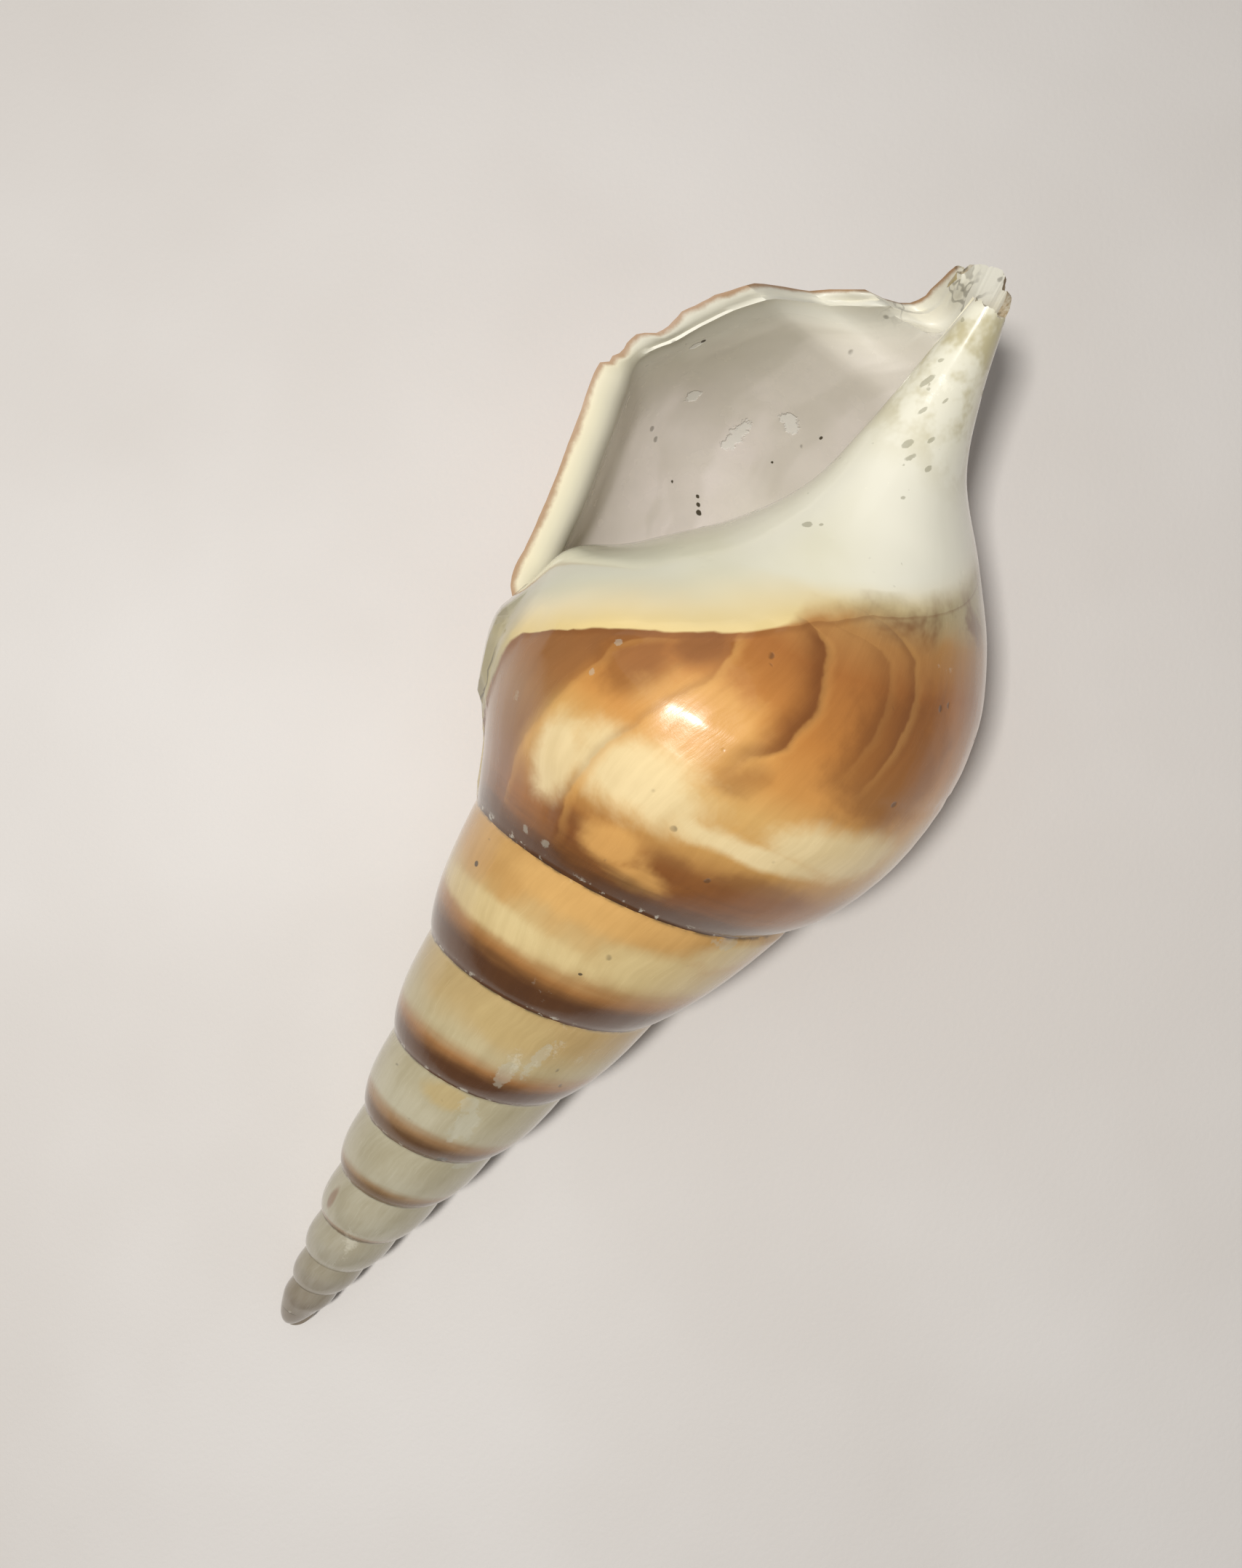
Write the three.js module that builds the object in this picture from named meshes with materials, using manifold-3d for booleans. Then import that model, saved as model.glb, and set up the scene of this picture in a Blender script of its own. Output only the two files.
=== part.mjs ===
// A tall-spired tibia sea snail shell with a broken lip and canal, in one piece, as it grew.
// It lies on its back with the opening up, +X from the apex to the canal tip, +Z up, in millimetres.
//
// The surface is swept round the shell's own axis. A station is a turn number t: 0 at the lip, -1 one
// whorl before it, and so on back to the apex. At each station the shell has one outline, the radius
// over the distance x along the axis, and the wall and the hollow inside are worked out from it.
import * as THREE from 'three';
import { mergeVertices } from 'three/addons/utils/BufferGeometryUtils.js';
import Module from 'manifold-3d';

// ---- Driving dimensions ----
const WHORLS = 9.5;               // whorls from the apex to the lip
const POLE_X = -13.7;             // the point on the axis that the spiral shrinks towards
const LIP_SUTURE_X = 91.6;        // where the last whorl's suture meets the lip
const AXIAL_RATE = 0.207;         // growth of the suture along the axis, per whorl (natural log)
const BODY_SUTURE_R = 16.7;       // suture radius one whorl before the lip
const RADIAL_RATE = 0.262;        // growth of the radius, per whorl (natural log)
const LAST_SWELL = 0.115;         // extra swelling of the suture over the last whorl
const APEX_X = -0.8;              // the blunt apex

// Outlines of the body whorl, [x, radius], at its start, half way round and at the lip.
const START_OUTLINE = [[71.9, 16.7], [77.3, 19.1], [84, 22.6], [91.6, 25], [99.5, 22.7], [105.9, 16.6],
  [112.8, 10.2], [120, 6.1], [128, 4.4], [136, 3], [144.2, 1.2]];
const HALF_OUTLINE = [[81.2, 19.9], [85, 22.7], [90, 24.4], [96, 25.3], [103, 25.2], [110, 23.5],
  [117, 19.3], [123.3, 13.6], [130, 7], [137, 4.1], [144.2, 2.4]];
const LIP_OUTLINE = [[91.6, 24.4], [94.2, 27], [99, 27.8], [105, 28.7], [112, 30.2], [119.5, 31.4],
  [126, 27.8], [132, 23.4], [137.5, 17.2], [141.3, 11], [146.5, 3.6]];

const COLUMELLA_TIP_X = 144.2;    // the columella breaks off here
const CANAL_TIP_X = 148;          // the outer wall reaches past it to here
const COLUMELLA_R = 1.15;         // the columella's thinnest radius,
const COLUMELLA_START = 4;        // which it takes from this far in front of the suture,
const COLUMELLA_FADE = 8;         // over this length,
const COLUMELLA_SOFTNESS = 0.8;   // with a corner rounded this much
const FLANK_BULGE = 0.05;         // a spire whorl's flank bulges by this share of its length,
const EARLY_BULGE = 0.06;         // the earliest whorls' by this much more,
const SHOULDER = 0.7;             // and below 1 the bulge sits nearer the older suture
const FLANK_FADE = 3;             // in front of a spire suture the flank blends into the base over this
const CANAL_OPENS = -0.5;         // from this station to the lip the canal is an open groove
const CANAL_REACH_PART = 0.45;    // share of that groove over which the broken wall reaches its tip
const LIP_CUT_BACK = 1.5;         // and over the rest its end runs back this far towards the lip
const WALL = 1.8;                 // wall of the body whorl
const WALL_RATE = 0.2;            // the wall thins towards the apex
const CANAL_WALL = 0.95;          // wall at the canal tip, reached
const CANAL_THIN_X = 146;         // by here,
const CANAL_THINNING = 18;        // thinning over this length
const LIP_THICKENING = 1.7;       // the lip is this much thicker than the wall
const LIP_BAND = 0.07;            // and thickens over this part of a turn,
const LIP_START = 1;              // from this far in front of the suture
const LIP_FADE = 4;               // and over this length
const HOLLOW_DEPTH = 2.25;        // whorls that the hollow runs back from the lip
const BEND_START_X = 112;         // the canal bends from here,
const BEND_SIDE = 2.4;            // this far sideways
const BEND_UP = 4;                // and this far up at its tip

const REST_TILT = THREE.MathUtils.degToRad(14.36);  // lying down, the axis drops to the apex
const AXIS_HEIGHT = 1.565;        // height of the axis over the table at x = 0

// ---- Mesh steps ----
const PER_WHORL = 28;             // stations in a whorl
const SPIRE_STEPS = 6;            // steps across a spire whorl, suture to suture
const FRONT_STEPS = 13;           // steps from there to the canal
const COLUMN_EVENNESS = 0.65;     // 1 spaces the steps across a whorl evenly, less crowds the sutures
const CURVE_STEPS = 160;          // steps along one outline curve
const FLANK_STEPS = 48;           // steps along a spire flank's outline
const SEARCH_STEPS = 900;         // steps when looking for the ends of the hollow
const SLOPE_STEP = 0.5;           // half-width of a slope measurement
const MARGIN = 0.02;              // keeps neighbouring samples apart

const TURN = 2 * Math.PI;
const clamp01 = (value) => THREE.MathUtils.clamp(value, 0, 1);
const smooth = (value) => THREE.MathUtils.smoothstep(value, 0, 1);

// ---- The spiral ----
const sutureX = (t) => POLE_X + (LIP_SUTURE_X - POLE_X) * Math.exp(AXIAL_RATE * t);

function sutureR(t) {
  const swell = 1 + LAST_SWELL * Math.max(t + 1, 0) ** 1.5;
  return BODY_SUTURE_R * Math.exp(RADIAL_RATE * (t + 1)) * swell;
}

// The start outline, shrunk back along the spiral to an older station.
function shrunkOutline(t) {
  const along = Math.exp(AXIAL_RATE * (t + 1));
  const across = sutureR(t) / BODY_SUTURE_R;
  return START_OUTLINE.map(([x, r]) => [POLE_X + (x - POLE_X) * along, r * across]);
}

// A Hermite blend of two outlines, whose end slopes are differences of their neighbours.
function blendOutlines(before, from, to, after, u, slopeFrom, slopeTo) {
  const [u2, u3] = [u * u, u * u * u];
  return from.map((point, n) => point.map((value, axis) => (
    (2 * u3 - 3 * u2 + 1) * value
    + (u3 - 2 * u2 + u) * slopeFrom * (to[n][axis] - before[n][axis])
    + (3 * u2 - 2 * u3) * to[n][axis]
    + (u3 - u2) * slopeTo * (after[n][axis] - value))));
}

function outlinePoints(t) {
  if (t <= -1) return shrunkOutline(t);
  if (t < -0.5) {
    const before = shrunkOutline(-1.5);
    return blendOutlines(before, START_OUTLINE, HALF_OUTLINE, LIP_OUTLINE, 2 * (t + 1), 0.5, 0.5);
  }
  return blendOutlines(START_OUTLINE, HALF_OUTLINE, LIP_OUTLINE, LIP_OUTLINE, 2 * (t + 0.5), 0.5, 1);
}

// ---- Outlines as tables of x and radius ----
function readTable({ xs, rs }, x) {
  let low = 0;
  let high = xs.length - 1;
  if (x <= xs[0]) return rs[0];
  if (x >= xs[high]) return rs[high];
  while (high - low > 1) {
    const middle = (low + high) >> 1;
    if (xs[middle] <= x) low = middle; else high = middle;
  }
  return THREE.MathUtils.lerp(rs[low], rs[high], (x - xs[low]) / (xs[high] - xs[low]));
}

function curveTable(points) {
  const curve = new THREE.CatmullRomCurve3(points.map(([x, r]) => new THREE.Vector3(x, r, 0)),
    false, 'centripetal');
  const table = { xs: [], rs: [] };
  for (const { x, y } of curve.getPoints(CURVE_STEPS)) {
    const last = table.xs.length ? table.xs.at(-1) : -Infinity;
    table.xs.push(Math.max(x, last + 1e-6));
    table.rs.push(y);
  }
  return table;
}

// A spire whorl, suture to suture: a straight flank with a rounded shoulder by the older suture.
// The columella inside it goes on from the younger suture.
function spireTable(t) {
  const body = curveTable(outlinePoints(t));
  const [x0, x1, r0, r1] = [sutureX(t), sutureX(t + 1), sutureR(t), sutureR(t + 1)];
  const bulge = (FLANK_BULGE + EARLY_BULGE * clamp01((-t - 2) / 5)) * Math.hypot(x1 - x0, r1 - r0);
  const towardsBody = clamp01(t + 2) ** 2;
  const table = { xs: [], rs: [] };
  for (let n = 0; n <= FLANK_STEPS; n += 1) {
    const s = n / FLANK_STEPS;
    const x = THREE.MathUtils.lerp(x0, x1, s);
    const flank = THREE.MathUtils.lerp(r0, r1, s) + bulge * Math.sin(Math.PI * s ** SHOULDER);
    table.xs.push(x);
    table.rs.push(n === FLANK_STEPS ? r1 : THREE.MathUtils.lerp(flank, readTable(body, x), towardsBody));
  }
  const step = r1 - readTable(body, x1);
  body.xs.forEach((x, n) => {
    if (x <= x1 + MARGIN) return;
    table.xs.push(x);
    table.rs.push(body.rs[n] + step * Math.exp(-(x - x1) / FLANK_FADE));
  });
  return table;
}

// Inside the whorls the outline never gets thinner than the columella.
function keepColumella(table, t) {
  const core = COLUMELLA_R * Math.exp(RADIAL_RATE * Math.min(t + 1.5, 0));
  const start = sutureX(Math.min(t + 1, 0)) + COLUMELLA_START;
  return { xs: table.xs, rs: table.rs.map((r, n) => {
    const soft = (r + core + Math.hypot(r - core, COLUMELLA_SOFTNESS)) / 2;
    return THREE.MathUtils.lerp(r, soft, t <= -1 ? clamp01((table.xs[n] - start) / COLUMELLA_FADE) : 0);
  }) };
}

const outlineTables = new Map();
function outlineTable(t) {
  const key = t.toFixed(5);
  if (!outlineTables.has(key)) {
    const table = t <= -1 ? spireTable(t) : curveTable(outlinePoints(t));
    outlineTables.set(key, keepColumella(table, t));
  }
  return outlineTables.get(key);
}

const outerRadius = (x, t) => readTable(outlineTable(t), x);

// ---- The wall and the hollow ----
// The canal's broken end: the columella stops first, the outer wall reaches furthest underneath.
function canalEnd(t) {
  if (t <= CANAL_OPENS) return COLUMELLA_TIP_X;
  const u = 1 - t / CANAL_OPENS;
  const reach = (CANAL_TIP_X - COLUMELLA_TIP_X) * smooth(u / CANAL_REACH_PART);
  return COLUMELLA_TIP_X + reach - LIP_CUT_BACK * clamp01((u - 1 + CANAL_REACH_PART) / CANAL_REACH_PART) ** 2;
}

function wallThickness(x, t) {
  const lip = smooth(1 + t / LIP_BAND) * clamp01((x - sutureX(t) - LIP_START) / LIP_FADE);
  const thick = WALL * Math.exp(WALL_RATE * Math.min(t, 0)) + LIP_THICKENING * lip;
  return THREE.MathUtils.lerp(CANAL_WALL, thick, clamp01((CANAL_THIN_X - x) / CANAL_THINNING));
}

function innerRadius(x, t) {
  const rise = outerRadius(x + SLOPE_STEP, t) - outerRadius(x - SLOPE_STEP, t);
  const slope = rise / (2 * SLOPE_STEP);
  return outerRadius(x, t) - wallThickness(x, t) * Math.sqrt(1 + Math.min(slope * slope, 3));
}

// The hollow's section at station t lies between the wall and the whorl before it. Its back corner
// is beside the suture; its front corner is where the wall meets the columella, or the open canal.
function hollowEnds(t) {
  const end = t <= CANAL_OPENS ? COLUMELLA_TIP_X : Math.min(canalEnd(t - 1), canalEnd(t));
  const start = sutureX(t) + MARGIN;
  const xs = Array.from({ length: SEARCH_STEPS + 1 }, (_, n) => (
    THREE.MathUtils.lerp(start, end, n / SEARCH_STEPS)));
  const gaps = xs.map((x) => innerRadius(x, t) - outerRadius(x, t - 1));
  const crossing = (n, m) => xs[n] + (xs[m] - xs[n]) * gaps[n] / (gaps[n] - gaps[m]);
  const first = gaps.findIndex((gap) => gap > 0);
  const last = gaps.findLastIndex((gap) => gap > 0);
  const back = first > 0 ? crossing(first - 1, first) : xs[0];
  if (t > CANAL_OPENS) return { back, front: null };
  return { back, front: last < SEARCH_STEPS ? crossing(last, last + 1) : end };
}

function place(x, r, t) {
  const bend = Math.max((x - BEND_START_X) / (CANAL_TIP_X - BEND_START_X), 0) ** 2;
  const y = r * Math.cos(TURN * t) + BEND_SIDE * bend;
  const z = r * Math.sin(TURN * t) + BEND_UP * bend;
  return new THREE.Vector3(x, y, z);
}

// ---- The closed surface ----
class Surface {
  constructor() {
    this.positions = [];
    this.triangles = [];
  }

  add(point) {
    this.positions.push(point);
    return this.positions.length - 1;
  }

  face(...corners) {
    const loop = corners.filter((corner, n) => corners.indexOf(corner) === n);
    for (let n = 1; n + 1 < loop.length; n += 1) this.triangles.push(loop[0], loop[n], loop[n + 1]);
  }

  // Triangles between two edges, side by side, stepping along whichever is behind.
  zip(edgeA, edgeB) {
    const reach = (edge) => {
      const sums = [0];
      for (let n = 1; n < edge.length; n += 1) {
        sums.push(sums[n - 1] + this.positions[edge[n]].distanceTo(this.positions[edge[n - 1]]));
      }
      return sums.map((sum) => sum / sums.at(-1));
    };
    const [reachA, reachB] = [reach(edgeA), reach(edgeB)];
    let a = 0;
    let b = 0;
    while (a < edgeA.length - 1 || b < edgeB.length - 1) {
      const alongA = b === edgeB.length - 1 || (a < edgeA.length - 1 && reachA[a + 1] <= reachB[b + 1]);
      this.face(edgeA[a], edgeB[b], alongA ? edgeA[a + 1] : edgeB[b + 1]);
      if (alongA) a += 1; else b += 1;
    }
  }

  // A fan from a middle point to a closed loop.
  fan(loop, middle) {
    const hub = this.add(middle);
    loop.forEach((corner, n) => this.face(corner, loop[(n + 1) % loop.length], hub));
  }

  geometry() {
    const flat = new THREE.BufferGeometry();
    const numbers = this.positions.flatMap((point) => point.toArray());
    flat.setAttribute('position', new THREE.Float32BufferAttribute(numbers, 3));
    flat.setIndex(this.triangles);
    return flat;
  }
}

const LIP = Math.round(WHORLS * PER_WHORL);          // the lip's row
const BODY = LIP - PER_WHORL;                        // the row one whorl before it
const DEEP = LIP - Math.round(HOLLOW_DEPTH * PER_WHORL);
const CANAL = LIP + Math.round(CANAL_OPENS * PER_WHORL);
const LAST = SPIRE_STEPS + 1 + FRONT_STEPS;          // the last column, at the canal
const stationOf = (row) => (row - LIP) / PER_WHORL;

// Axial places of one row's columns: across the whorl, and on to the canal where that is bare.
function rowPlaces(row, hollows) {
  const t = stationOf(row);
  const [from, to] = [sutureX(t), sutureX(t + 1)];
  const places = Array.from({ length: SPIRE_STEPS + 1 }, (_, n) => {
    const s = n / SPIRE_STEPS;
    const crowded = THREE.MathUtils.lerp((1 - Math.cos(Math.PI * s)) / 2, s, COLUMN_EVENNESS);
    return THREE.MathUtils.lerp(from, to, crowded);
  });
  if (row < DEEP - PER_WHORL) return places;
  const hollow = hollows.get(row + PER_WHORL);
  const back = hollow ? hollow.back : to + hollows.get(LIP).back - LIP_SUTURE_X;
  const front = hollow?.front ?? canalEnd(t);
  for (let n = 0; n <= FRONT_STEPS; n += 1) places.push(THREE.MathUtils.lerp(back, front, n / FRONT_STEPS));
  return places;
}

// The outside: each whorl's younger edge is the next whorl's older one.
function addOutside(surface, hollows) {
  const rows = [];
  for (let row = 0; row <= LIP; row += 1) {
    const t = stationOf(row);
    rows.push(rowPlaces(row, hollows).map((x, column) => (
      column === SPIRE_STEPS && row <= BODY ? null : surface.add(place(x, outerRadius(x, t), t)))));
  }
  for (let row = 0; row <= BODY; row += 1) rows[row][SPIRE_STEPS] = rows[row + PER_WHORL][0];
  for (let row = 0; row < LIP; row += 1) {
    const [here, next] = [rows[row], rows[row + 1]];
    for (let n = 0; n < Math.min(here.length, next.length) - 1; n += 1) {
      const bare = n < SPIRE_STEPS || row >= BODY || n > SPIRE_STEPS;
      if (bare) surface.face(here[n], next[n], next[n + 1], here[n + 1]);
    }
  }
  return rows;
}

// The inside of the outer wall, which meets the whorl before it at both corners of the hollow.
function addInside(surface, hollows, outside) {
  const rows = new Map();
  for (let row = DEEP; row <= LIP; row += 1) {
    const t = stationOf(row);
    const { back, front } = hollows.get(row);
    const facing = outside[row - PER_WHORL];
    const line = [facing[SPIRE_STEPS + 1]];
    for (let n = 1; n <= FRONT_STEPS; n += 1) {
      const x = THREE.MathUtils.lerp(back, front ?? canalEnd(t), n / FRONT_STEPS);
      const closed = n === FRONT_STEPS && row <= CANAL;
      line.push(closed ? facing[LAST] : surface.add(place(x, innerRadius(x, t), t)));
    }
    rows.set(row, line);
  }
  for (let row = DEEP; row < LIP; row += 1) {
    const [here, next] = [rows.get(row), rows.get(row + 1)];
    for (let n = 0; n < FRONT_STEPS; n += 1) surface.face(here[n], here[n + 1], next[n + 1], next[n]);
  }
  return rows;
}

function closeEnds(surface, outside, inside) {
  // the far end of the hollow
  const wall = inside.get(DEEP);
  const facing = outside[DEEP - PER_WHORL].slice(SPIRE_STEPS + 1);
  for (let n = 0; n < FRONT_STEPS; n += 1) surface.face(wall[n], facing[n], facing[n + 1], wall[n + 1]);
  // the lip
  surface.zip(outside[LIP], inside.get(LIP));
  // the broken edge of the canal's wall, and the columella's end
  for (let row = CANAL; row < LIP; row += 1) {
    const [here, next] = [inside.get(row), inside.get(row + 1)];
    surface.face(outside[row][LAST], outside[row + 1][LAST], next[FRONT_STEPS], here[FRONT_STEPS]);
  }
  const stump = [];
  for (let row = CANAL - PER_WHORL; row <= CANAL; row += 1) stump.push(outside[row][LAST]);
  const middle = new THREE.Vector3();
  stump.forEach((corner) => middle.addScaledVector(surface.positions[corner], 1 / stump.length));
  surface.fan(stump, middle);
  // the apex
  const ring = outside.slice(0, PER_WHORL).map((row) => row[0]);
  surface.fan([...outside[0].slice(0, SPIRE_STEPS + 1), ...ring.slice(1).reverse()], place(APEX_X, 0, 0));
}

function shellSurface() {
  const hollows = new Map();
  for (let row = DEEP; row <= LIP; row += 1) hollows.set(row, hollowEnds(stationOf(row)));
  const surface = new Surface();
  const outside = addOutside(surface, hollows);
  closeEnds(surface, outside, addInside(surface, hollows, outside));
  return surface.geometry();
}

// ---- Lying down ----
// The shell is tilted until the body whorl and the apex both reach the table, where each has a small
// worn flat. Its origin goes to the middle of its box, on the table.
async function layDown(geometry) {
  geometry.rotateY(-REST_TILT);
  geometry.translate(0, 0, AXIS_HEIGHT);
  const wasm = await Module();
  wasm.setup();
  const merged = mergeVertices(geometry);
  const solid = new wasm.Manifold(new wasm.Mesh({
    numProp: 3,
    vertProperties: new Float32Array(merged.attributes.position.array),
    triVerts: new Uint32Array(merged.index.array),
  }));
  const worn = solid.trimByPlane([0, 0, 1], 0).getMesh();
  const laid = new THREE.BufferGeometry();
  laid.setAttribute('position', new THREE.BufferAttribute(worn.vertProperties, 3));
  laid.setIndex(new THREE.BufferAttribute(worn.triVerts, 1));
  laid.computeBoundingBox();
  const middle = laid.boundingBox.getCenter(new THREE.Vector3());
  laid.translate(-middle.x, -middle.y, 0);
  laid.computeVertexNormals();
  return laid;
}

const shell = new THREE.Mesh(await layDown(shellSurface()), new THREE.MeshStandardMaterial({
  color: 0xd9b98a,
  roughness: 0.35,
  metalness: 0,
}));
shell.name = 'shell';

const part = new THREE.Group();
part.name = 'tibia_shell';
part.add(shell);
export default part;
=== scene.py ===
"""A tall-spired tibia sea snail shell, lying on its back with its opening up.

The shell is one piece. Its surface is swept round its own axis: a station is a turn number, 0 at the
outer lip and -1 one whorl before it, and at each station the shell has one outline, the radius over the
distance x along the axis. Lengths in the shell's own frame are millimetres, with the axis along +X.
"""
import enum
import logging
import math
from dataclasses import dataclass, field

import bpy
import numpy as np
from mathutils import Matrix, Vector


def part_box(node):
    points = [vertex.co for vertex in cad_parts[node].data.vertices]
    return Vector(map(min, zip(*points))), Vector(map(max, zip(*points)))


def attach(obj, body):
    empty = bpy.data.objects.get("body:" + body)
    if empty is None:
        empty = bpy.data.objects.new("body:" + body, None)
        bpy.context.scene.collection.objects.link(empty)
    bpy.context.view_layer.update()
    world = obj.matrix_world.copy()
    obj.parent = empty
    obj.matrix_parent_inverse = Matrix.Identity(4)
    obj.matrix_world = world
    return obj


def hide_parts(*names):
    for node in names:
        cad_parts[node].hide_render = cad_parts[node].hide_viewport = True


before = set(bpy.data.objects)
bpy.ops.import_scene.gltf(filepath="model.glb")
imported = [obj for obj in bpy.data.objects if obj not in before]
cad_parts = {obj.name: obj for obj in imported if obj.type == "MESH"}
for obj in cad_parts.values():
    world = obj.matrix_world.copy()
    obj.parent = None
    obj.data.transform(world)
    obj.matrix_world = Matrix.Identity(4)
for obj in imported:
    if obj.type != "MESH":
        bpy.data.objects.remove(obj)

LOG = logging.getLogger("tibia_shell")
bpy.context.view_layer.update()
MM = 0.001
TURN = 2 * math.pi
SHELL_NODE = "shell"
ROOT_BODY = "root"

Array = np.ndarray
Colour = tuple[float, float, float]


# ---------------------------------------------------------------- small helpers
def clamp01(value: Array | float) -> Array | float:
    """Limit a number or an array to 0..1."""
    return np.clip(value, 0.0, 1.0)


def smooth(value: Array | float, low: float = 0.0, high: float = 1.0) -> Array | float:
    """Smooth step.

    Args:
        value: The number or array to map.
        low: Where the step starts.
        high: Where the step ends.

    Returns:
        0 below low, 1 above high, and a smooth rise between them.
    """
    part = clamp01((value - low) / (high - low))
    return part * part * (3 - 2 * part)


def lerp(start: Array | float, end: Array | float, part: Array | float) -> Array | float:
    """Straight blend from start to end."""
    return start + (end - start) * part


def srgb(red: int, green: int, blue: int) -> Colour:
    """Turn a screen colour, 0 to 255, into the linear colour that shaders take."""
    parts = [value / 255 for value in (red, green, blue)]
    return tuple(part / 12.92 if part <= 0.04045 else ((part + 0.055) / 1.055) ** 2.4 for part in parts)


class ValueNoise:
    """Smooth seeded noise in three dimensions, from -1 to 1."""

    SIDE = 24

    def __init__(self, seed: int) -> None:
        """Fill the lattice from the seed."""
        self.lattice = np.random.default_rng(seed).uniform(-1, 1, (self.SIDE,) * 3)

    def one(self, points: Array) -> Array:
        """Noise of one octave.

        Args:
            points: Places, one row each, in lattice steps.

        Returns:
            One value for each place.
        """
        base = np.floor(points).astype(int)
        part = points - base
        part = part * part * (3 - 2 * part)
        total = np.zeros(len(points))
        for corner in np.ndindex(2, 2, 2):
            weight = np.prod(np.where(np.array(corner) == 1, part, 1 - part), axis=1)
            spot = (base + np.array(corner)) % self.SIDE
            total += weight * self.lattice[spot[:, 0], spot[:, 1], spot[:, 2]]
        return total

    def many(self, points: Array, octaves: int = 3) -> Array:
        """Noise of several octaves, each twice as fine and half as strong."""
        return sum(self.one(points * 2 ** n + 7.3 * n) / 2 ** n for n in range(octaves)) / 1.6


# ---------------------------------------------------------------- the shell's form
@dataclass(frozen=True)
class Spiral:
    """How the suture runs: its place along the axis and its radius grow by the turn."""

    whorls: float = 9.5
    pole_x: float = -13.7
    lip_suture_x: float = 91.6
    axial_rate: float = 0.207
    body_suture_r: float = 16.7
    radial_rate: float = 0.262
    last_swell: float = 0.115

    def suture_x(self, turn: Array | float) -> Array | float:
        """Place of the suture along the axis, mm."""
        return self.pole_x + (self.lip_suture_x - self.pole_x) * np.exp(self.axial_rate * turn)

    def suture_r(self, turn: Array | float) -> Array | float:
        """Radius of the suture, mm."""
        swell = 1 + self.last_swell * np.maximum(turn + 1, 0) ** 1.5
        return self.body_suture_r * np.exp(self.radial_rate * (turn + 1)) * swell

    def across(self, x: Array | float, turn: Array | float) -> Array | float:
        """How far across a whorl x lies: 0 at its older suture, 1 at its younger one."""
        return (x - self.suture_x(turn)) / (self.suture_x(turn + 1) - self.suture_x(turn))


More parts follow.
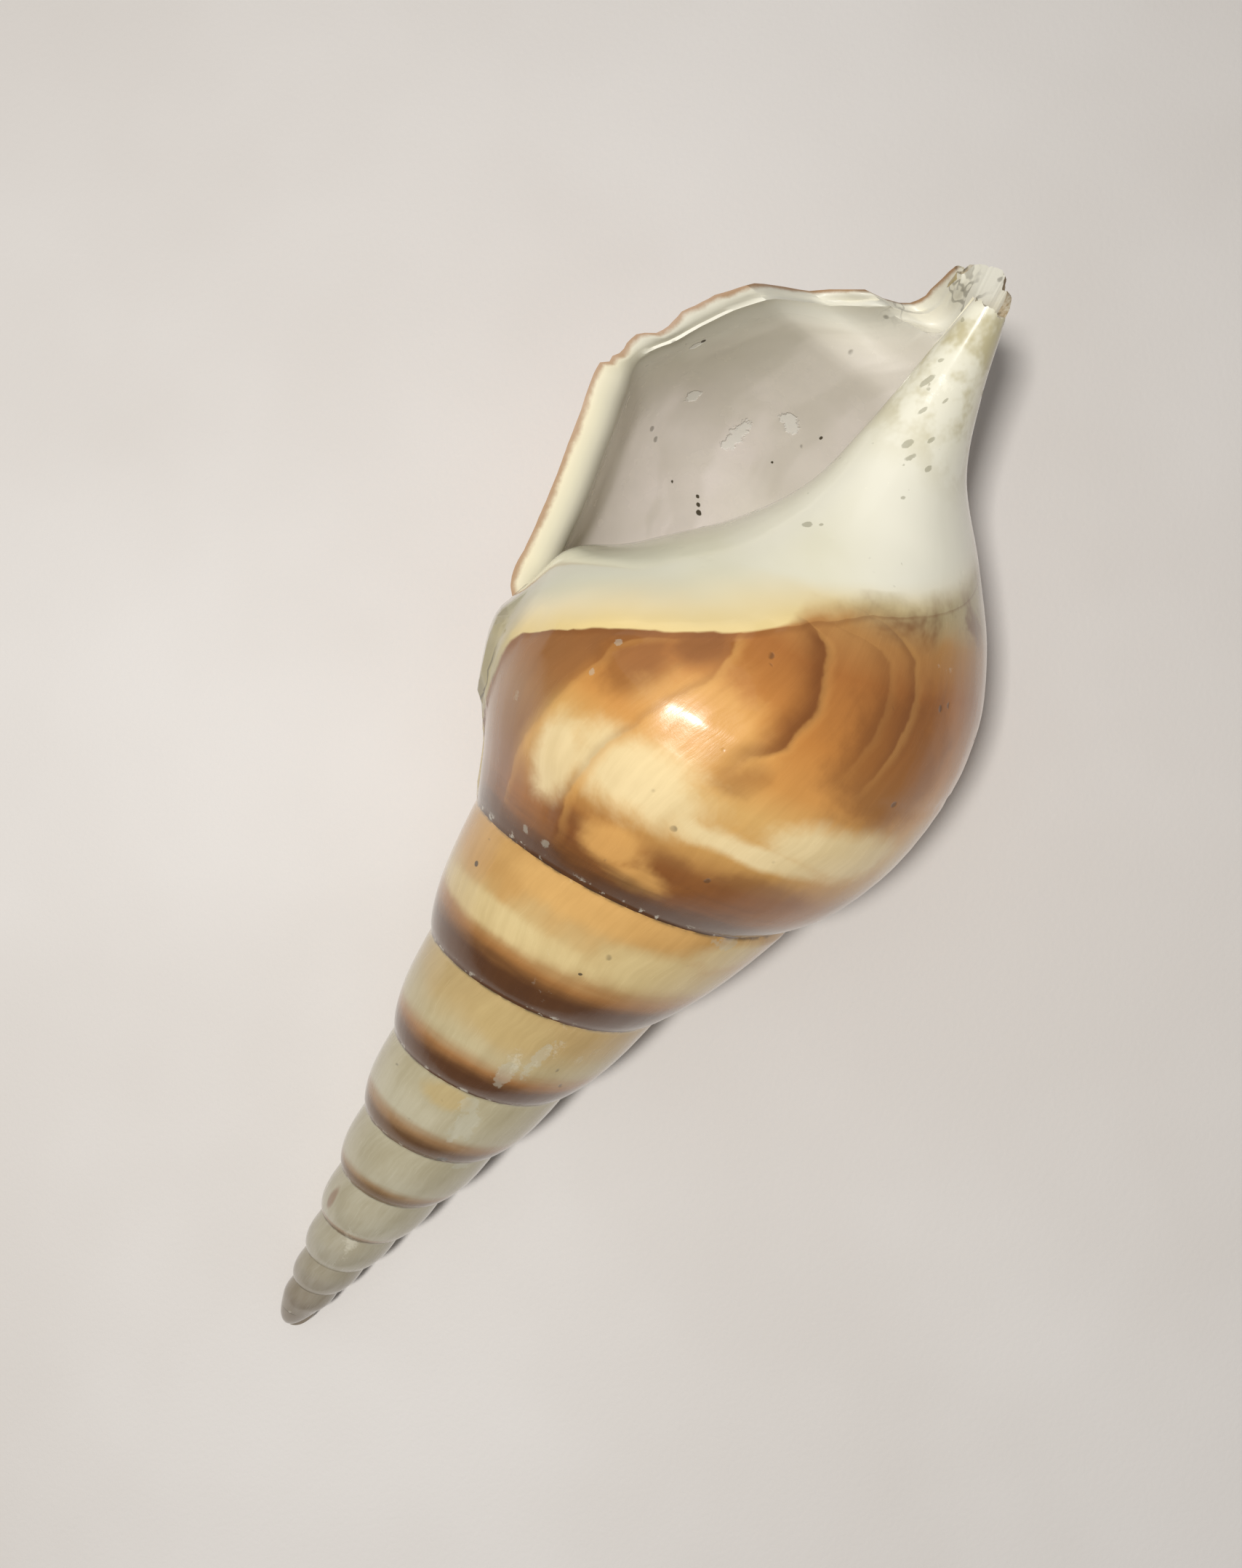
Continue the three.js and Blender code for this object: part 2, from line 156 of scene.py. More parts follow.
@dataclass(frozen=True)
class Outlines:
    """The body whorl's outlines, (x, radius) in mm, and what is worked out from them."""

    spiral: Spiral = field(default_factory=Spiral)
    start: tuple = ((71.9, 16.7), (77.3, 19.1), (84, 22.6), (91.6, 25), (99.5, 22.7), (105.9, 16.6),
                    (112.8, 10.2), (120, 6.1), (128, 4.4), (136, 3), (144.2, 1.2))
    half: tuple = ((81.2, 19.9), (85, 22.7), (90, 24.4), (96, 25.3), (103, 25.2), (110, 23.5),
                   (117, 19.3), (123.3, 13.6), (130, 7), (137, 4.1), (144.2, 2.4))
    lip: tuple = ((91.6, 24.4), (94.2, 27), (99, 27.8), (105, 28.7), (112, 30.2), (119.5, 31.4),
                  (126, 27.8), (132, 23.4), (137.5, 17.2), (141.3, 11), (146.5, 3.6))
    columella_r: float = 1.15
    tables: dict = field(default_factory=dict)

    def shrunk(self, turn: float) -> Array:
        """The start outline, shrunk back along the spiral to an older station.

        Args:
            turn: The station, in turns.

        Returns:
            Its points, x and radius.
        """
        spiral = self.spiral
        points = np.array(self.start, float)
        along = math.exp(spiral.axial_rate * (turn + 1))
        points[:, 0] = spiral.pole_x + (points[:, 0] - spiral.pole_x) * along
        points[:, 1] *= spiral.suture_r(turn) / spiral.body_suture_r
        return points

    def points(self, turn: float) -> Array:
        """The outline's own points at a station, blended smoothly between the three given ones.

        Args:
            turn: The station, in turns.

        Returns:
            The points, x and radius.
        """
        if turn <= -1:
            return self.shrunk(turn)
        start, half, lip = (np.array(points, float) for points in (self.start, self.half, self.lip))
        if turn < -0.5:
            return self._hermite(start, half, (half - self.shrunk(-1.5)) / 2, (lip - start) / 2,
                                 2 * (turn + 1))
        return self._hermite(half, lip, (lip - start) / 2, lip - half, 2 * (turn + 0.5))

    @staticmethod
    def _hermite(start: Array, end: Array, leave: Array, arrive: Array, part: Array | float) -> Array:
        """Cubic blend with given end slopes.

        Args:
            start: The first value.
            end: The last value.
            leave: Slope at the start.
            arrive: Slope at the end.
            part: How far along, 0 to 1.

        Returns:
            The blended value.
        """
        square, cube = part * part, part * part * part
        return ((2 * cube - 3 * square + 1) * start + (cube - 2 * square + part) * leave
                + (3 * square - 2 * cube) * end + (cube - square) * arrive)

    def _curve(self, points: Array, steps: int = 16) -> tuple[Array, Array]:
        """A centripetal curve through the points, as x and radius.

        Args:
            points: Points to pass through.
            steps: Steps between two points.

        Returns:
            x and radius along the curve.
        """
        ends = np.vstack([2 * points[0] - points[1], points, 2 * points[-1] - points[-2]])
        part = np.linspace(0, 1, steps, endpoint=False)[:, None]
        pieces = []
        for n in range(len(points) - 1):
            a, b, c, d = ends[n:n + 4]
            ab, bc, cd = (math.sqrt(np.linalg.norm(q - p)) for p, q in ((a, b), (b, c), (c, d)))
            leave = ((b - a) / ab - (c - a) / (ab + bc) + (c - b) / bc) * bc
            arrive = ((c - b) / bc - (d - b) / (bc + cd) + (d - c) / cd) * bc
            pieces.append(self._hermite(b, c, leave, arrive, part))
        line = np.vstack([*pieces, points[-1:]])
        return np.maximum.accumulate(line[:, 0] + np.arange(len(line)) * 1e-6), line[:, 1]

    def table(self, turn: float) -> tuple[Array, Array]:
        """The whole outline at a station.

        Args:
            turn: The station.

        Returns:
            x and radius, from the older suture to the front end.
        """
        key = round(turn, 5)
        if key not in self.tables:
            self.tables[key] = self._make_table(turn)
        return self.tables[key]

    def _make_table(self, turn: float) -> tuple[Array, Array]:
        """Work out the outline at a station.

        Args:
            turn: The station, in turns.

        Returns:
            x and radius.
        """
        x, r = self._curve(self.points(turn))
        if turn > -1:
            return x, r
        spiral = self.spiral
        x0, x1 = spiral.suture_x(turn), spiral.suture_x(turn + 1)
        r0, r1 = spiral.suture_r(turn), spiral.suture_r(turn + 1)
        s = np.linspace(0, 1, 49)
        bulge = (0.05 + 0.06 * clamp01((-turn - 2) / 5)) * math.hypot(x1 - x0, r1 - r0)
        flank = lerp(r0, r1, s) + bulge * np.sin(math.pi * s ** 0.7)
        whorl_x = lerp(x0, x1, s)
        whorl_r = lerp(flank, np.interp(whorl_x, x, r), clamp01(turn + 2) ** 2)
        whorl_r[-1] = r1
        front = x > x1 + 0.02
        step = r1 - np.interp(x1, x, r)
        x = np.concatenate([whorl_x, x[front]])
        r = np.concatenate([whorl_r, r[front] + step * np.exp(-(x[len(s):] - x1) / 3)])
        core = self.columella_r * math.exp(spiral.radial_rate * min(turn + 1.5, 0))
        soft = (r + core + np.hypot(r - core, 0.8)) / 2
        return x, lerp(r, soft, clamp01((x - x1 - 4) / 8))

    def radius(self, x: Array | float, turn: float) -> Array:
        """Radius of the outside at x."""
        xs, rs = self.table(turn)
        return np.interp(x, xs, rs)


@dataclass(frozen=True)
class Wall:
    """The wall's thickness, the hollow inside it and the broken canal."""

    outlines: Outlines = field(default_factory=Outlines)
    columella_tip_x: float = 144.2
    canal_tip_x: float = 148.0
    canal_opens: float = -0.5
    lip_cut_back: float = 1.5
    wall: float = 1.8
    wall_rate: float = 0.2
    canal_wall: float = 0.95
    lip_thickening: float = 1.7
    lip_band: float = 0.07

    def canal_end(self, turn: float) -> float:
        """Where the shell ends in front at a station, mm.

        Args:
            turn: The station, in turns.

        Returns:
            Place along the axis, mm.
        """
        if turn <= self.canal_opens:
            return self.columella_tip_x
        part = 1 - turn / self.canal_opens
        reach = (self.canal_tip_x - self.columella_tip_x) * smooth(part / 0.45)
        return self.columella_tip_x + reach - self.lip_cut_back * clamp01((part - 0.55) / 0.45) ** 2

    def thickness(self, x: Array, turn: float) -> Array:
        """Thickness of the outer wall at x, mm.

        Args:
            x: Place along the axis, mm.
            turn: The station, in turns.

        Returns:
            The thickness at each x.
        """
        suture = self.outlines.spiral.suture_x(turn)
        lip = smooth(1 + turn / self.lip_band) * clamp01((x - suture - 1) / 4)
        lip = lip * (1 - 0.85 * smooth(x, 117.5, 122) * (1 - smooth(x, 136, 142)))
        thick = self.wall * math.exp(self.wall_rate * min(turn, 0)) + self.lip_thickening * lip
        return lerp(self.canal_wall, thick, clamp01((146 - x) / 18))

    def inner_radius(self, x: Array, turn: float) -> Array:
        """Radius of the wall's inner face at x.

        Args:
            x: Place along the axis, mm.
            turn: The station, in turns.

        Returns:
            The inner radius at each x.
        """
        radius = self.outlines.radius
        slope = radius(x + 0.5, turn) - radius(x - 0.5, turn)
        return radius(x, turn) - self.thickness(x, turn) * np.sqrt(1 + np.minimum(slope ** 2, 3))

    def hollow(self, turn: float) -> tuple[float, float | None]:
        """Ends of the hollow's section at a station.

        Args:
            turn: The station.

        Returns:
            x of its back corner by the suture, and of its front corner, or None where the canal is open.
        """
        spiral = self.outlines.spiral
        is_open = turn > self.canal_opens
        end = min(self.canal_end(turn - 1), self.canal_end(turn)) if is_open else self.columella_tip_x
        x = np.linspace(spiral.suture_x(turn) + 0.02, end, 1201)
        gap = self.inner_radius(x, turn) - self.outlines.radius(x, turn - 1)
        found = np.flatnonzero(gap > 0)
        first, last = found[0], found[-1]

        def crossing(low: int, high: int) -> float:
            """Where the gap is nothing, between two neighbouring places."""
            return float(x[low] + (x[high] - x[low]) * gap[low] / (gap[low] - gap[high]))

        back = crossing(first - 1, first) if first > 0 else float(x[0])
        if is_open:
            return back, None
        return back, crossing(last, last + 1) if last + 1 < len(x) else end


@dataclass(frozen=True)
class Bend:
    """The canal's slight bend, sideways and up."""

    start_x: float = 112.0
    end_x: float = 148.0
    side: float = 2.4
    up: float = 4.0

    def place(self, x: Array, r: Array, turn: Array) -> Array:
        """Points in the shell's frame.

        Args:
            x: Places along the axis.
            r: Radii.
            turn: Stations.

        Returns:
            One point a row.
        """
        bend = np.maximum((x - self.start_x) / (self.end_x - self.start_x), 0) ** 2
        angle = TURN * np.asarray(turn, float)
        return np.stack([x + 0 * angle, r * np.cos(angle) + self.side * bend,
                         r * np.sin(angle) + self.up * bend], axis=-1)


class Zone(enum.IntEnum):
    """Which skin of the shell a face belongs to."""

    OUTSIDE = 0
    HOLLOW = 1
    BROKEN = 2


@dataclass
class Skin:
    """The growing surface: points with their places on the spiral, and faces with corner values."""

    points: list[Array] = field(default_factory=list)
    marks: list[Array] = field(default_factory=list)
    faces: list[tuple[int, ...]] = field(default_factory=list)
    corner_turn: list[float] = field(default_factory=list)
    corner_across: list[float] = field(default_factory=list)
    zones: list[int] = field(default_factory=list)
    count: int = 0

    def add(self, points: Array, turn: Array | float, x: Array, zone: Zone,
            inward: Array | float = 0.0) -> Array:
        """Add points.

        Args:
            points: One point a row.
            turn: Station of each.
            x: Place along the axis of each.
            zone: The skin that they shape.
            inward: Distance from the lip's outer edge, over the rim and on inside, mm.

        Returns:
            Their numbers.
        """
        size = len(points)
        self.points.append(points)
        self.marks.append(np.stack([np.broadcast_to(np.asarray(value, float), size) for value in
                                    (turn, x, float(zone), inward)], axis=1))
        numbers = np.arange(self.count, self.count + size)
        self.count += size
        return numbers

    def grid(self, numbers: Array, turn: Array, across: Array, zone: Zone, flip: bool = False) -> None:
        """Join a grid of points into quads, each corner with its own turn and across.

        Args:
            numbers: Rows of point numbers.
            turn: The station of each.
            across: Its place across the whorl.
            zone: The zone of the faces.
            flip: Whether the faces turn over.
        """
        order = [(0, 0), (1, 0), (1, 1), (0, 1)]
        if flip:
            order.reverse()
        rows, columns = numbers.shape[0] - 1, numbers.shape[1] - 1

        def corners(values: Array) -> Array:
            """The four corner values of each quad."""
            return np.stack([values[r:r + rows, c:c + columns].ravel() for r, c in order], axis=1)

        self.faces.extend(map(tuple, corners(numbers).tolist()))
        self.corner_turn.extend(corners(turn).ravel().tolist())
        self.corner_across.extend(corners(across).ravel().tolist())
        self.zones.extend([int(zone)] * (rows * columns))

    def face(self, corners: list[int], zone: Zone) -> None:
        """Add one face; its corners take their points' own turn and nothing across.

        Args:
            corners: Point numbers in order.
            zone: The zone of the face.
        """
        loop = [corner for n, corner in enumerate(corners) if corner not in corners[:n]]
        if len(loop) < 3:
            return
        self.faces.append(tuple(int(corner) for corner in loop))
        self.corner_turn.extend([0.0] * len(loop))
        self.corner_across.extend([0.0] * len(loop))
        self.zones.append(int(zone))

    def zip(self, first: list[int], second: list[int], zone: Zone) -> None:
        """Fill the strip between two edges with triangles, stepping along whichever is behind.

        Args:
            first: Point numbers of one edge.
            second: Those of the other.
            zone: The zone of the faces.
        """
        places = np.vstack(self.points)

        def reach(edge: list[int]) -> Array:
            """How far along the edge each corner is, 0 to 1."""
            steps = np.linalg.norm(np.diff(places[edge], axis=0), axis=1)
            return np.concatenate([[0], np.cumsum(steps)]) / steps.sum()

        reach_a, reach_b = reach(first), reach(second)
        a = b = 0
        while a < len(first) - 1 or b < len(second) - 1:
            along = b == len(second) - 1 or (a < len(first) - 1 and reach_a[a + 1] <= reach_b[b + 1])
            self.face([first[a], second[b], first[a + 1] if along else second[b + 1]], zone)
            a, b = (a + 1, b) if along else (a, b + 1)


@dataclass
class ShellForm:
    """Builds the shell's closed surface in its own frame."""

    wall: Wall = field(default_factory=Wall)
    bend: Bend = field(default_factory=Bend)
    per_whorl: int = 200
    spire_steps: int = 18
    front_steps: int = 82
    rim_steps: int = 7
    apex_steps: int = 8
    hollow_depth: float = 1.25
    apex_x: float = -0.8

    def __post_init__(self) -> None:
        """Work out the row numbers."""
        self.spiral = self.wall.outlines.spiral
        self.lip_row = round(self.spiral.whorls * self.per_whorl)
        self.body_row = self.lip_row - self.per_whorl
        self.deep_row = self.lip_row - round(self.hollow_depth * self.per_whorl)
        self.canal_row = self.lip_row + round(self.wall.canal_opens * self.per_whorl)
        self.skin = Skin()

    def station(self, row: int) -> float:
        """The turn of a row."""
        return (row - self.lip_row) / self.per_whorl

    def build(self) -> Skin:
        """Build the whole surface.

        Returns:
            The closed skin.
        """
        self.hollows = {row: self.wall.hollow(self.station(row))
                        for row in range(self.deep_row, self.lip_row + 1)}
        self._outside()
        self._inside()
        self._lip_rim()
        self._broken_tip()
        self._apex()
        return self.skin

    def _columns(self, row: int) -> tuple[Array, Array | None]:
        """Places along the axis of a row's columns, across the whorl and in front of it.

        Args:
            row: The row.

        Returns:
            The places, mm.
        """
        turn = self.station(row)
        x0, x1 = self.spiral.suture_x(turn), self.spiral.suture_x(turn + 1)
        if turn > -1:
            x1 = lerp(x1, x0 + 2.2, smooth(turn + 1))
        s = np.linspace(0, 1, self.spire_steps + 1)
        back = lerp(x0, x1, 0.6 * s + 0.2 * (1 - np.cos(math.pi * s)))
        if row < self.deep_row - self.per_whorl:
            return back, None
        hollow = self.hollows.get(row + self.per_whorl)
        gap = self.hollows[self.lip_row][0] - self.spiral.lip_suture_x
        start = hollow[0] if hollow else x1 + lerp(gap, gap - 2.2, smooth(turn + 1))
        end = hollow[1] if hollow and hollow[1] is not None else self.wall.canal_end(turn)
        return back, np.linspace(start, end, self.front_steps + 1)

    def _outside(self) -> None:
        """The outer surface, with each whorl's younger edge on the next whorl's older one."""
        rows = self.lip_row + 1
        first_front = self.deep_row - self.per_whorl
        self.back_ids = np.zeros((rows, self.spire_steps + 1), int)
        self.front_ids = np.zeros((rows - first_front, self.front_steps + 1), int)
        back_x = np.zeros(self.back_ids.shape)
        front_x = np.zeros(self.front_ids.shape)
        for row in range(rows):
            turn = self.station(row)
            back, front = self._columns(row)
            back_x[row] = back
            keep = back[:-1] if row <= self.body_row else back
            points = self.bend.place(keep, self.wall.outlines.radius(keep, turn), turn)
            self.back_ids[row, :len(keep)] = self.skin.add(points, turn, keep, Zone.OUTSIDE)
            if front is not None:
                points = self.bend.place(front, self.wall.outlines.radius(front, turn), turn)
                self.front_ids[row - first_front] = self.skin.add(points, turn, front, Zone.OUTSIDE)
                front_x[row - first_front] = front
        shared = np.arange(self.body_row + 1)
        self.back_ids[shared, -1] = self.back_ids[shared + self.per_whorl, 0]
        turns = (np.arange(rows) - self.lip_row)[:, None] / self.per_whorl
        back_turn = np.broadcast_to(turns, back_x.shape)
        front_turn = np.broadcast_to(turns[first_front:], front_x.shape)
        back_across = self.spiral.across(back_x, back_turn)
        front_across = self.spiral.across(front_x, front_turn)
        self.skin.grid(self.back_ids, back_turn, back_across, Zone.OUTSIDE)
        self.skin.grid(self.front_ids, front_turn, front_across, Zone.OUTSIDE)
        body = slice(self.body_row, None)
        body_front = slice(self.body_row - first_front, None)
        self.skin.grid(np.stack([self.back_ids[body, -1], self.front_ids[body_front, 0]], axis=1),
                       np.stack([back_turn[body, -1], front_turn[body_front, 0]], axis=1),
                       np.stack([back_across[body, -1], front_across[body_front, 0]], axis=1), Zone.OUTSIDE)
        self.first_front = first_front

    def _front(self, row: int) -> Array:
        """Point numbers of a row's front columns."""
        return self.front_ids[row - self.first_front]

    def _inside(self) -> None:
        """The outer wall's inner face, joined to the whorl before it along both corners."""
        rows = self.lip_row + 1 - self.deep_row
        self.inner_ids = np.zeros((rows, self.front_steps + 1), int)
        turns = np.zeros(self.inner_ids.shape)
        across = np.zeros(self.inner_ids.shape)
        for n, row in enumerate(range(self.deep_row, self.lip_row + 1)):
            turn = self.station(row)
            back, front = self.hollows[row]
            x = np.linspace(back, self.wall.canal_end(turn) if front is None else front,
                            self.front_steps + 1)
            facing = self._front(row - self.per_whorl)
            closed = row <= self.canal_row
            own = slice(1, -1 if closed else None)
            r = self.wall.inner_radius(x, turn)
            inward = self.wall.thickness(x, 0.0) - turn * TURN * r
            self.inner_ids[n, 0] = facing[0]
            if closed:
                self.inner_ids[n, -1] = facing[-1]
            points = self.bend.place(x[own], r[own], turn)
            self.inner_ids[n, own] = self.skin.add(points, turn, x[own], Zone.HOLLOW, inward[own])
            turns[n] = turn
            across[n] = self.spiral.across(x, turn)
        self.skin.grid(self.inner_ids, turns, across, Zone.HOLLOW, flip=True)
        facing = self._front(self.deep_row - self.per_whorl)
        ends = np.stack([self.inner_ids[0], facing])
        self.skin.grid(ends, np.full(ends.shape, turns[0, 0]), np.zeros(ends.shape), Zone.HOLLOW)

    def _lip_rim(self) -> None:
        """The lip's thick rim, rounded between its outer and inner edges."""
        places = np.vstack(self.skin.points)
        outer, inner = self._front(self.lip_row), self.inner_ids[-1]
        lines = [outer]
        x = np.vstack(self.skin.marks)[outer, 1]
        for step in range(1, self.rim_steps):
            part = step / self.rim_steps
            middle = lerp(places[outer], places[inner], part)
            inward = part * np.linalg.norm(places[inner] - places[outer], axis=1)
            lines.append(self.skin.add(middle, 0.0, x, Zone.HOLLOW, inward))
        lines.append(inner)
        grid = np.array(lines)
        self.skin.grid(grid, np.zeros(grid.shape), np.zeros(grid.shape), Zone.HOLLOW)
        edge = [int(line[0]) for line in reversed(lines)]
        self.skin.zip([*self.back_ids[self.lip_row].tolist(), int(outer[0])], edge, Zone.HOLLOW)
        self.rim_front = [int(line[-1]) for line in lines]

    def _broken_tip(self) -> None:
        """The broken edge of the canal's wall, and the columella's stump."""
        last = self.lip_row - 1
        for row in range(self.canal_row, last):
            here, there = self.inner_ids[row - self.deep_row, -1], self.inner_ids[row + 1 - self.deep_row, -1]
            self.skin.face([self._front(row)[-1], self._front(row + 1)[-1], there, here], Zone.BROKEN)
        inner = self.inner_ids[last - self.deep_row, -1]
        self.skin.face([self._front(last)[-1], *self.rim_front, inner], Zone.BROKEN)
        stump = [int(self._front(row)[-1]) for row in
                 range(self.canal_row - self.per_whorl, self.canal_row + 1)]
        places = np.vstack(self.skin.points)[stump]
        rings = [stump]
        middle = places.mean(axis=0)
        for part in (0.3, 0.62):
            ring = lerp(places, middle, part)
            rings.append(self.skin.add(ring, -0.7, ring[:, 0], Zone.BROKEN).tolist())
        hub = int(self.skin.add(middle[None], -0.7, middle[:1], Zone.BROKEN)[0])
        for n in range(len(stump)):
            after = (n + 1) % len(stump)
            for outer, inner_ring in zip(rings, rings[1:]):
                self.skin.face([outer[n], outer[after], inner_ring[after], inner_ring[n]], Zone.BROKEN)
            self.skin.face([rings[-1][n], rings[-1][after], hub], Zone.BROKEN)

    def _apex(self) -> None:
        """The blunt dome over the first whorl."""
        loop = [*self.back_ids[0].tolist(), *self.back_ids[self.per_whorl - 1:0:-1, 0].tolist()]
        marks, places = np.vstack(self.skin.marks)[loop], np.vstack(self.skin.points)[loop]
        radius = np.hypot(places[:, 1], places[:, 2])
        turn = marks[:, 0]
        rings = [loop]
        for step in range(1, self.apex_steps):
            angle = math.pi / 2 * step / self.apex_steps
            x = lerp(places[:, 0], self.apex_x, math.sin(angle))
            points = self.bend.place(x, radius * math.cos(angle), turn)
            rings.append(self.skin.add(points, turn, x, Zone.OUTSIDE).tolist())
        tip = int(self.skin.add(np.array([[self.apex_x, 0.0, 0.0]]), -9.5, np.array([self.apex_x]),
                                Zone.OUTSIDE)[0])
        for n in range(len(loop)):
            after = (n + 1) % len(loop)
            for outer, inner in zip(rings, rings[1:]):
                self._apex_face([outer[n], outer[after], inner[after], inner[n]])
            self._apex_face([rings[-1][n], rings[-1][after], tip])

    def _apex_face(self, corners: list[int]) -> None:
        """One face of the dome, which counts as the oldest whorl.

        Args:
            corners: Point numbers in order.
        """
        self.skin.faces.append(tuple(corners))
        self.skin.corner_turn.extend([-self.spiral.whorls] * len(corners))
        self.skin.corner_across.extend([0.5] * len(corners))
        self.skin.zones.append(int(Zone.OUTSIDE))


# ---------------------------------------------------------------- surface detail
class Tone(enum.Enum):
    """The patches of colour that lie over the bands."""

    CREAM = "cream"
    GOLD = "gold"
    UMBER = "umber"
    CHALK = "chalk"
    SOOT = "soot"


@dataclass(frozen=True)
class Patch:
    """One soft patch of a tone, with its middle and half-widths in turns and across the whorl."""

    tone: Tone
    turn: float
    across: float
    half_turn: float
    half_across: float

    def depth(self, turn: Array, across: Array) -> Array:
        """How deep in the patch each place is: 1 in the middle, 0 at the edge, negative outside."""
        return 1 - np.hypot((turn - self.turn) / self.half_turn, (across - self.across) / self.half_across)


@dataclass(frozen=True)
class GrowthStop:
    """Where growth once stopped: an old lip's line, as turns over the distance across the whorl."""

    across: tuple
    turn: tuple
    ridge: float = 0.0
    step: float = 0.0
    dark: float = 0.5
    pale: float = 0.3
    width: float = 3.5
    fade: float = 0.1

    def beyond(self, turn: Array, across: Array, radius: Array) -> Array:
        """Distance past the line towards the lip, mm."""
        return (turn - np.interp(across, self.across, self.turn)) * TURN * radius

    def reach(self, across: Array) -> Array:
        """1 where the line runs, fading at its ends."""
        first, last = self.across[0], self.across[-1]
        return smooth(across, first, first + self.fade) * (1 - smooth(across, last - 0.08, last + 0.02))

    def lift(self, turn: Array, across: Array, radius: Array) -> Array:
        """Height of the ridge and the step at the line, mm.

        Args:
            turn: The stations.
            across: Places across the whorl.
            radius: Distances from the axis, mm.

        Returns:
            The height at each.
        """
        beyond = self.beyond(turn, across, radius)
        ridge = self.ridge * np.exp(-(beyond / 0.55) ** 2)
        fall = self.step * smooth(beyond, -0.35, 0.35) * (1 - smooth(beyond, 2, 7))
        return 0.55 * self.reach(across) * (ridge + fall)


GROWTH_STOPS = (
    GrowthStop((0.1, 0.28, 0.42, 0.57, 0.73, 0.85, 0.94, 1.04, 1.16, 1.2, 1.27, 1.33),
               (-0.872, -0.87, -0.867, -0.861, -0.85, -0.844, -0.839, -0.834, -0.838, -0.832, -0.82, -0.806),
               0.04, 0.10, 0.2, 0.2, 2.2),
    GrowthStop((0.06, 0.22, 0.37, 0.59, 0.76, 0.93, 1.09, 1.22, 1.36, 1.48),
               (-0.806, -0.807, -0.811, -0.806, -0.8, -0.789, -0.783, -0.772, -0.772, -0.778),
               0.14, -0.03, 0.22, 0.4, 1.6, 0.35),
    GrowthStop((0.9, 1.02, 1.09, 1.19, 1.28, 1.36, 1.45, 1.55, 1.61, 1.64),
               (-0.733, -0.722, -0.711, -0.71, -0.706, -0.706, -0.711, -0.717, -0.73, -0.78),
               0.05, -0.10, 0.85, 0.25, 4.5, 0.22),
    GrowthStop((0.95, 1.1, 1.23, 1.38, 1.515, 1.59, 1.635, 1.66),
               (-0.678, -0.667, -0.661, -0.656, -0.66, -0.667, -0.68, -0.74),
               0.03, -0.06, 0.32, 0.12, 3.5, 0.35),
    GrowthStop((0.9, 1.06, 1.21, 1.39, 1.51, 1.62, 1.68, 1.73, 1.76),
               (-0.658, -0.65, -0.639, -0.633, -0.633, -0.639, -0.656, -0.68, -0.73),
               0.05, -0.08, 0.42, 0.25, 2.5, 0.4),
    GrowthStop((0.05, 0.5, 1.0, 1.45, 1.75), (-0.478, -0.47, -0.462, -0.45, -0.47), 0.10, -0.06),
    GrowthStop((0.05, 0.6, 1.1, 1.5, 1.8), (-0.262, -0.255, -0.247, -0.24, -0.26), 0.08, -0.08),
    GrowthStop((0.05, 0.6, 1.2, 1.6, 1.8), (-0.115, -0.105, -0.098, -0.1, -0.11), 0.10, -0.05),
)
PATCHES = (
    Patch(Tone.CREAM, -0.778, 0.67, 0.062, 0.24), Patch(Tone.CREAM, -0.828, 0.55, 0.024, 0.26),
    Patch(Tone.CREAM, -0.69, 0.575, 0.085, 0.07), Patch(Tone.CREAM, -0.63, 0.70, 0.065, 0.17),
    Patch(Tone.CREAM, -0.48, 0.63, 0.10, 0.15), Patch(Tone.CREAM, -0.33, 0.55, 0.07, 0.13),
    Patch(Tone.CREAM, -0.15, 0.6, 0.09, 0.2), Patch(Tone.CREAM, -1.83, 0.5, 0.16, 0.13),
    Patch(Tone.CREAM, -1.66, 0.62, 0.06, 0.2), Patch(Tone.CREAM, -1.35, 0.52, 0.14, 0.14),
    Patch(Tone.GOLD, -0.761, 0.31, 0.032, 0.13), Patch(Tone.GOLD, -0.733, 0.19, 0.03, 0.1),
    Patch(Tone.GOLD, -0.76, 1.02, 0.05, 0.3), Patch(Tone.GOLD, -3.756, 0.86, 0.05, 0.17),
    Patch(Tone.GOLD, -2.74, 0.80, 0.07, 0.25), Patch(Tone.GOLD, -0.42, 1.0, 0.08, 0.3),
    Patch(Tone.UMBER, -0.80, 0.26, 0.028, 0.12), Patch(Tone.UMBER, -0.722, 0.31, 0.035, 0.12),
    Patch(Tone.UMBER, -0.678, 0.2, 0.04, 0.12), Patch(Tone.UMBER, -0.655, 0.34, 0.05, 0.16),
    Patch(Tone.UMBER, -0.728, 0.91, 0.024, 0.12), Patch(Tone.UMBER, -0.63, 1.2, 0.06, 0.4),
    Patch(Tone.UMBER, -0.817, 1.13, 0.03, 0.2), Patch(Tone.UMBER, -0.79, 1.34, 0.02, 0.14),
    Patch(Tone.UMBER, -5.875, 0.52, 0.018, 0.26),
    Patch(Tone.GOLD, -1.75, 0.9, 0.12, 0.16), Patch(Tone.CREAM, -1.60, 0.85, 0.05, 0.14),
    Patch(Tone.UMBER, -0.3, 1.15, 0.06, 0.35), Patch(Tone.UMBER, -0.53, 0.35, 0.05, 0.15),
)
